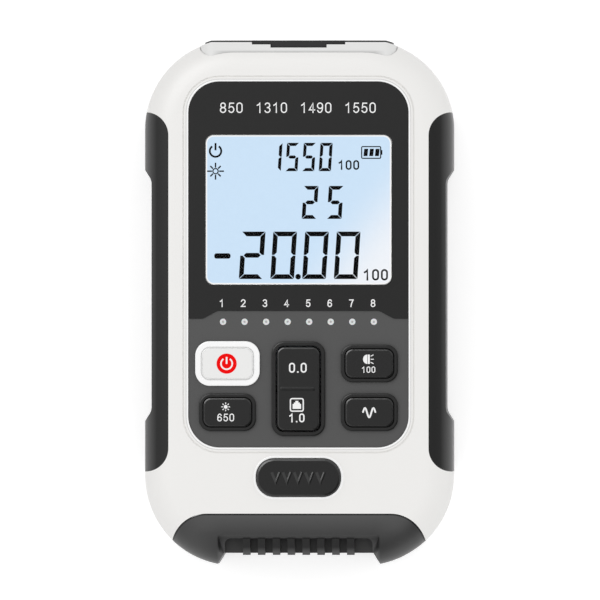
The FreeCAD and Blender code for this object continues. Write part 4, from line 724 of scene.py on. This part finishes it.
def remote_painted_light(add):
    """Grey plastic with painted light and shade. Outside, the painted shade follows the distance from
    the shoulder's corner centres, which is the length of what is beyond them in X and Y, and a painted
    seam shadow lies at 8 mm. In the scoop, painted shade makes the ribs near-black at their top end and
    lighter towards the far end, and the scoop's well lies below the sloping line of the ribs' tops."""
    own = axes(add)
    side = maths(add, "ABSOLUTE", own["X"])
    beyond_x = maths(add, "MAXIMUM", maths(add, "SUBTRACT", side, 21.8 * MM), 0.0)
    beyond_y = maths(add, "MAXIMUM", maths(add, "ADD", own["Y"], 58.5 * MM), 0.0)
    beyond = add("ShaderNodeCombineXYZ", X=beyond_x, Y=beyond_y)
    reach = add("ShaderNodeVectorMath", operation="LENGTH", _0=beyond).outputs["Value"]
    slope = maths(add, "MULTIPLY_ADD", own["Y"], -0.595, own["Z"])

    def shades(value, start, end, first, last):
        """The first colour up to one distance in millimetres, and the last from another on."""
        return blended(add, ramp(add, value, start * MM, end * MM), first, last)

    inner = shades(side, 18.0, 24.0, grey(44), grey(60))
    outer = shades(side, 22.0, 27.5, grey(71), grey(57))
    band = shades(reach, 8.0, 3.8, outer, inner)
    seam_painted_shadow = shades(reach, 8.0, 8.12, band, grey(18))
    ribs = shades(own["Y"], -58.0, -59.3, grey(10), grey(76))
    well = shades(slope, 63.3, 62.5, ribs, grey(54))
    scoop = shades(own["Y"], -54.9, -55.9, seam_painted_shadow, well)
    return shades(side, 18.8, 19.4, scoop, seam_painted_shadow)


# The remote unit's grey carries painted light and shade on its band, seam and scoop
remote_grey = moulded("remote_grey", remote_painted_light, 0.42, shift=0.08, Specular_IOR_Level=0.4)
dress(remote_grey, "remote_front_cover", "remote_back_cover")

# ---- Port end ----
# Behind the hinged dust lid a black panel carries two turned metal adapters, each with a rolled
# thread and a white ceramic sleeve, the lamp that lights the work and an eight-way socket.


def metal(name, colour, roughness):
    """A metal finish: the same skin group with a metallic shader and a finer grain."""
    return moulded(name, colour, roughness, shift=0.08, grain_size=0.15 * MM, depth=0.004 * MM,
                   Metallic=1.0)


lid_dark = moulded("lid_dark", grey(34), 0.42, shift=0.08, Specular_IOR_Level=0.25)
socket_black = moulded("socket_black", tint(24, 24, 25), 0.4, shift=0.08, Specular_IOR_Level=0.3)
nickel = metal("nickel", tint(190, 188, 182), 0.28)
steel = metal("steel", tint(168, 168, 170), 0.35)
gilt = metal("gilt", tint(226, 190, 110), 0.25)
detector_black = moulded("detector_black", tint(20, 22, 26), 0.2, shift=0.1)
lamp_clear = moulded("lamp_clear", tint(236, 240, 244), 0.08, shift=0.02, depth=0.0,
                     Transmission_Weight=0.5, IOR=1.5)
dress(lid_dark, "dust_lid", "port_panel")
dress(socket_black, "main_jack", "remote_jack")
dress(nickel, "meter_port", "laser_port", "battery_contacts")
dress(steel, "port_nuts", "case_screws", "board_screws", "remote_screws", "lid_hinge_pin", "remote_latch")
dress(gilt, "main_jack_contacts", "remote_jack_contacts")
dress(detector_black, "optical_detector", "laser_module")
dress(lamp_clear, "torch_lamp")


def threaded(middle_x, middle_z, radius, start, end, pitch, depth):
    """A rolled thread about the Y direction: radius + depth x a three-cornered wave of (distance along
    divided by pitch, less the turn). It fades out at both ends and closes on the smooth barrel."""
    steps, rows, wall = 48, 72, 0.15
    turn = np.linspace(0, 2 * math.pi, steps, endpoint=False)[:, None]
    along = np.linspace(start, end, rows)[None, :]
    wave = np.abs(((along - start) / pitch - turn / (2 * math.pi)) % 1.0 * 2 - 1)
    fade = np.clip(np.minimum(along - start, end - along) / (0.6 * pitch), 0, 1)
    reach = radius + depth * wave * fade
    outer = np.stack([middle_x + reach * np.cos(turn), np.broadcast_to(along, reach.shape),
                      middle_z + reach * np.sin(turn)], -1)
    inner = outer[:, [-1, 0]].copy()
    inner[..., 0] = middle_x + (radius - wall) * np.cos(turn)
    inner[..., 2] = middle_z + (radius - wall) * np.sin(turn)
    grid = np.concatenate([outer, inner], 1)
    return grid.reshape(-1, 3), quads(steps, rows + 2, True, True)


def tube(middle_x, middle_z, inner, outer, start, end):
    """A plain tube about the Y direction: a four-cornered section spun round it."""
    steps = 40
    turn = np.linspace(0, 2 * math.pi, steps, endpoint=False)[:, None]
    radius = np.array([[inner, outer, outer, inner]])
    along = np.broadcast_to(np.array([[start, start, end, end]]), (steps, 4))
    grid = np.stack([middle_x + radius * np.cos(turn), along, middle_z + radius * np.sin(turn)], -1)
    return grid.reshape(-1, 3), quads(steps, 4, True, True)


port_low, port_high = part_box("meter_port")
port_z, port_end = (port_low.z + port_high.z) / 2 / MM, port_high.y / MM
nut_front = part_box("port_nuts")[1].y / MM
ceramic_white = moulded("ceramic_white", tint(236, 236, 232), 0.2, shift=0.02, depth=0.002 * MM)
for node in ("meter_port", "laser_port"):
    low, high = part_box(node)
    port_x = (low.x + high.x) / 2 / MM
    piece(f"{node}_thread", [threaded(port_x, port_z, 3.48, nut_front + 0.05, port_end - 0.15, 0.5, 0.16)],
          nickel, "case", smooth=True)
    piece(f"{node}_sleeve", [tube(port_x, port_z, 0.8, 1.24, port_end - 6.5, port_end - 0.9)],
          ceramic_white, "case", smooth=True)

# ---- Screws ----
# Four long screws close the case from the back and two the remote unit. Each head has a driven
# cross recess, drawn as a flat dark cross: painted shade in place of its depth.
recess_painted_shade = metal("recess_painted_shade", tint(52, 52, 54), 0.6)


def crosses(places, low, high, reach):
    """Two crossed bars at each place, between two levels, a fifth as wide as they are long."""
    ways = (np.array((reach, 0)), np.array((0, reach)))
    return [stroke([place - way, place + way], reach * 0.2, low, high) for place in places for way in ways]


for node, body, reach, inset in (("case_screws", "case", 1.45, 2.5),
                                 ("remote_screws", "remote_unit", 1.05, 1.9)):
    low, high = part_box(node)
    across, near, far = high.x / MM - inset, low.y / MM + inset, high.y / MM - inset
    rows = (near, far) if far - near > 1 else (near,)
    places = [np.array((sense * across, y)) for sense in (1, -1) for y in rows]
    piece(f"{node}_recess", crosses(places, low.z / MM - 0.02, low.z / MM + 0.1, reach),
          recess_painted_shade, body)

# ---- Battery door ----
# Seven low ridges for the thumb at the latch end, and an arrowhead that shows the way it opens.
# They are moulded in one with the door.
door_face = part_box("battery_door")[0].z / MM
ridge_low, ridge_high = door_face - 0.16, door_face + 0.1
ridge_lines = [[(-6, y), (6, y)] for y in np.arange(-23.4, -15.5, 1.3)]
ridge_lines.append([(-1.8, -12.4), (0, -14.2), (1.8, -12.4)])
piece("door_ridges", [stroke(line, 0.3, ridge_low, ridge_high) for line in ridge_lines],
      case_white, "battery_door_body")

# ---- Inside ----
# A green circuit board with tinned tracks, the backlight, black components, the key mat and
# three cells in printed sleeves.
sleeve_blue = tint(40, 84, 150)


def tracks(add):
    """Tinned tracks under green lacquer: narrow bands of a wave folded by cell noise, a shade lighter."""
    cells = add("ShaderNodeTexVoronoi", distance="MANHATTAN", Vector=place_on(add), Scale=330.0)
    wave = maths(add, "SINE", maths(add, "MULTIPLY", cells.outputs["Distance"], 18.0))
    return blended(add, ramp(add, wave, 0.5, 0.7), tint(20, 84, 52), tint(58, 132, 88))


def sleeve_bands(add):
    """A blue sleeve with one pale band near the button end: the colour steps with the distance along."""
    along = ramp(add, axes(add)["Y"], -24.5 * MM, 25.5 * MM)
    bands = add("ShaderNodeValToRGB", Fac=along)
    bands.color_ramp.interpolation = "CONSTANT"
    stops = bands.color_ramp.elements
    stops[0].color = sleeve_blue
    stops[1].position = 0.72
    stops[1].color = tint(226, 228, 230)
    stops.new(0.9).color = sleeve_blue
    return bands


board_green = moulded("board_green", tracks, 0.35, shift=0.3, grain_size=1.6 * MM)
chip_black = moulded("chip_black", tint(34, 34, 36), 0.5)
mat_grey = moulded("mat_grey", tint(150, 150, 152), 0.6)
guide_white = moulded("guide_white", tint(240, 240, 238), 0.4)
cell_sleeve = moulded("cell_sleeve", sleeve_bands, 0.25, depth=0.004 * MM)
dress(board_green, "main_board", "remote_board")
dress(chip_black, "indicator_chips", "display_connectors")
dress(mat_grey, "key_mat")
dress(guide_white, "backlight")
dress(cell_sleeve, "battery_cell_1", "battery_cell_2", "battery_cell_3")
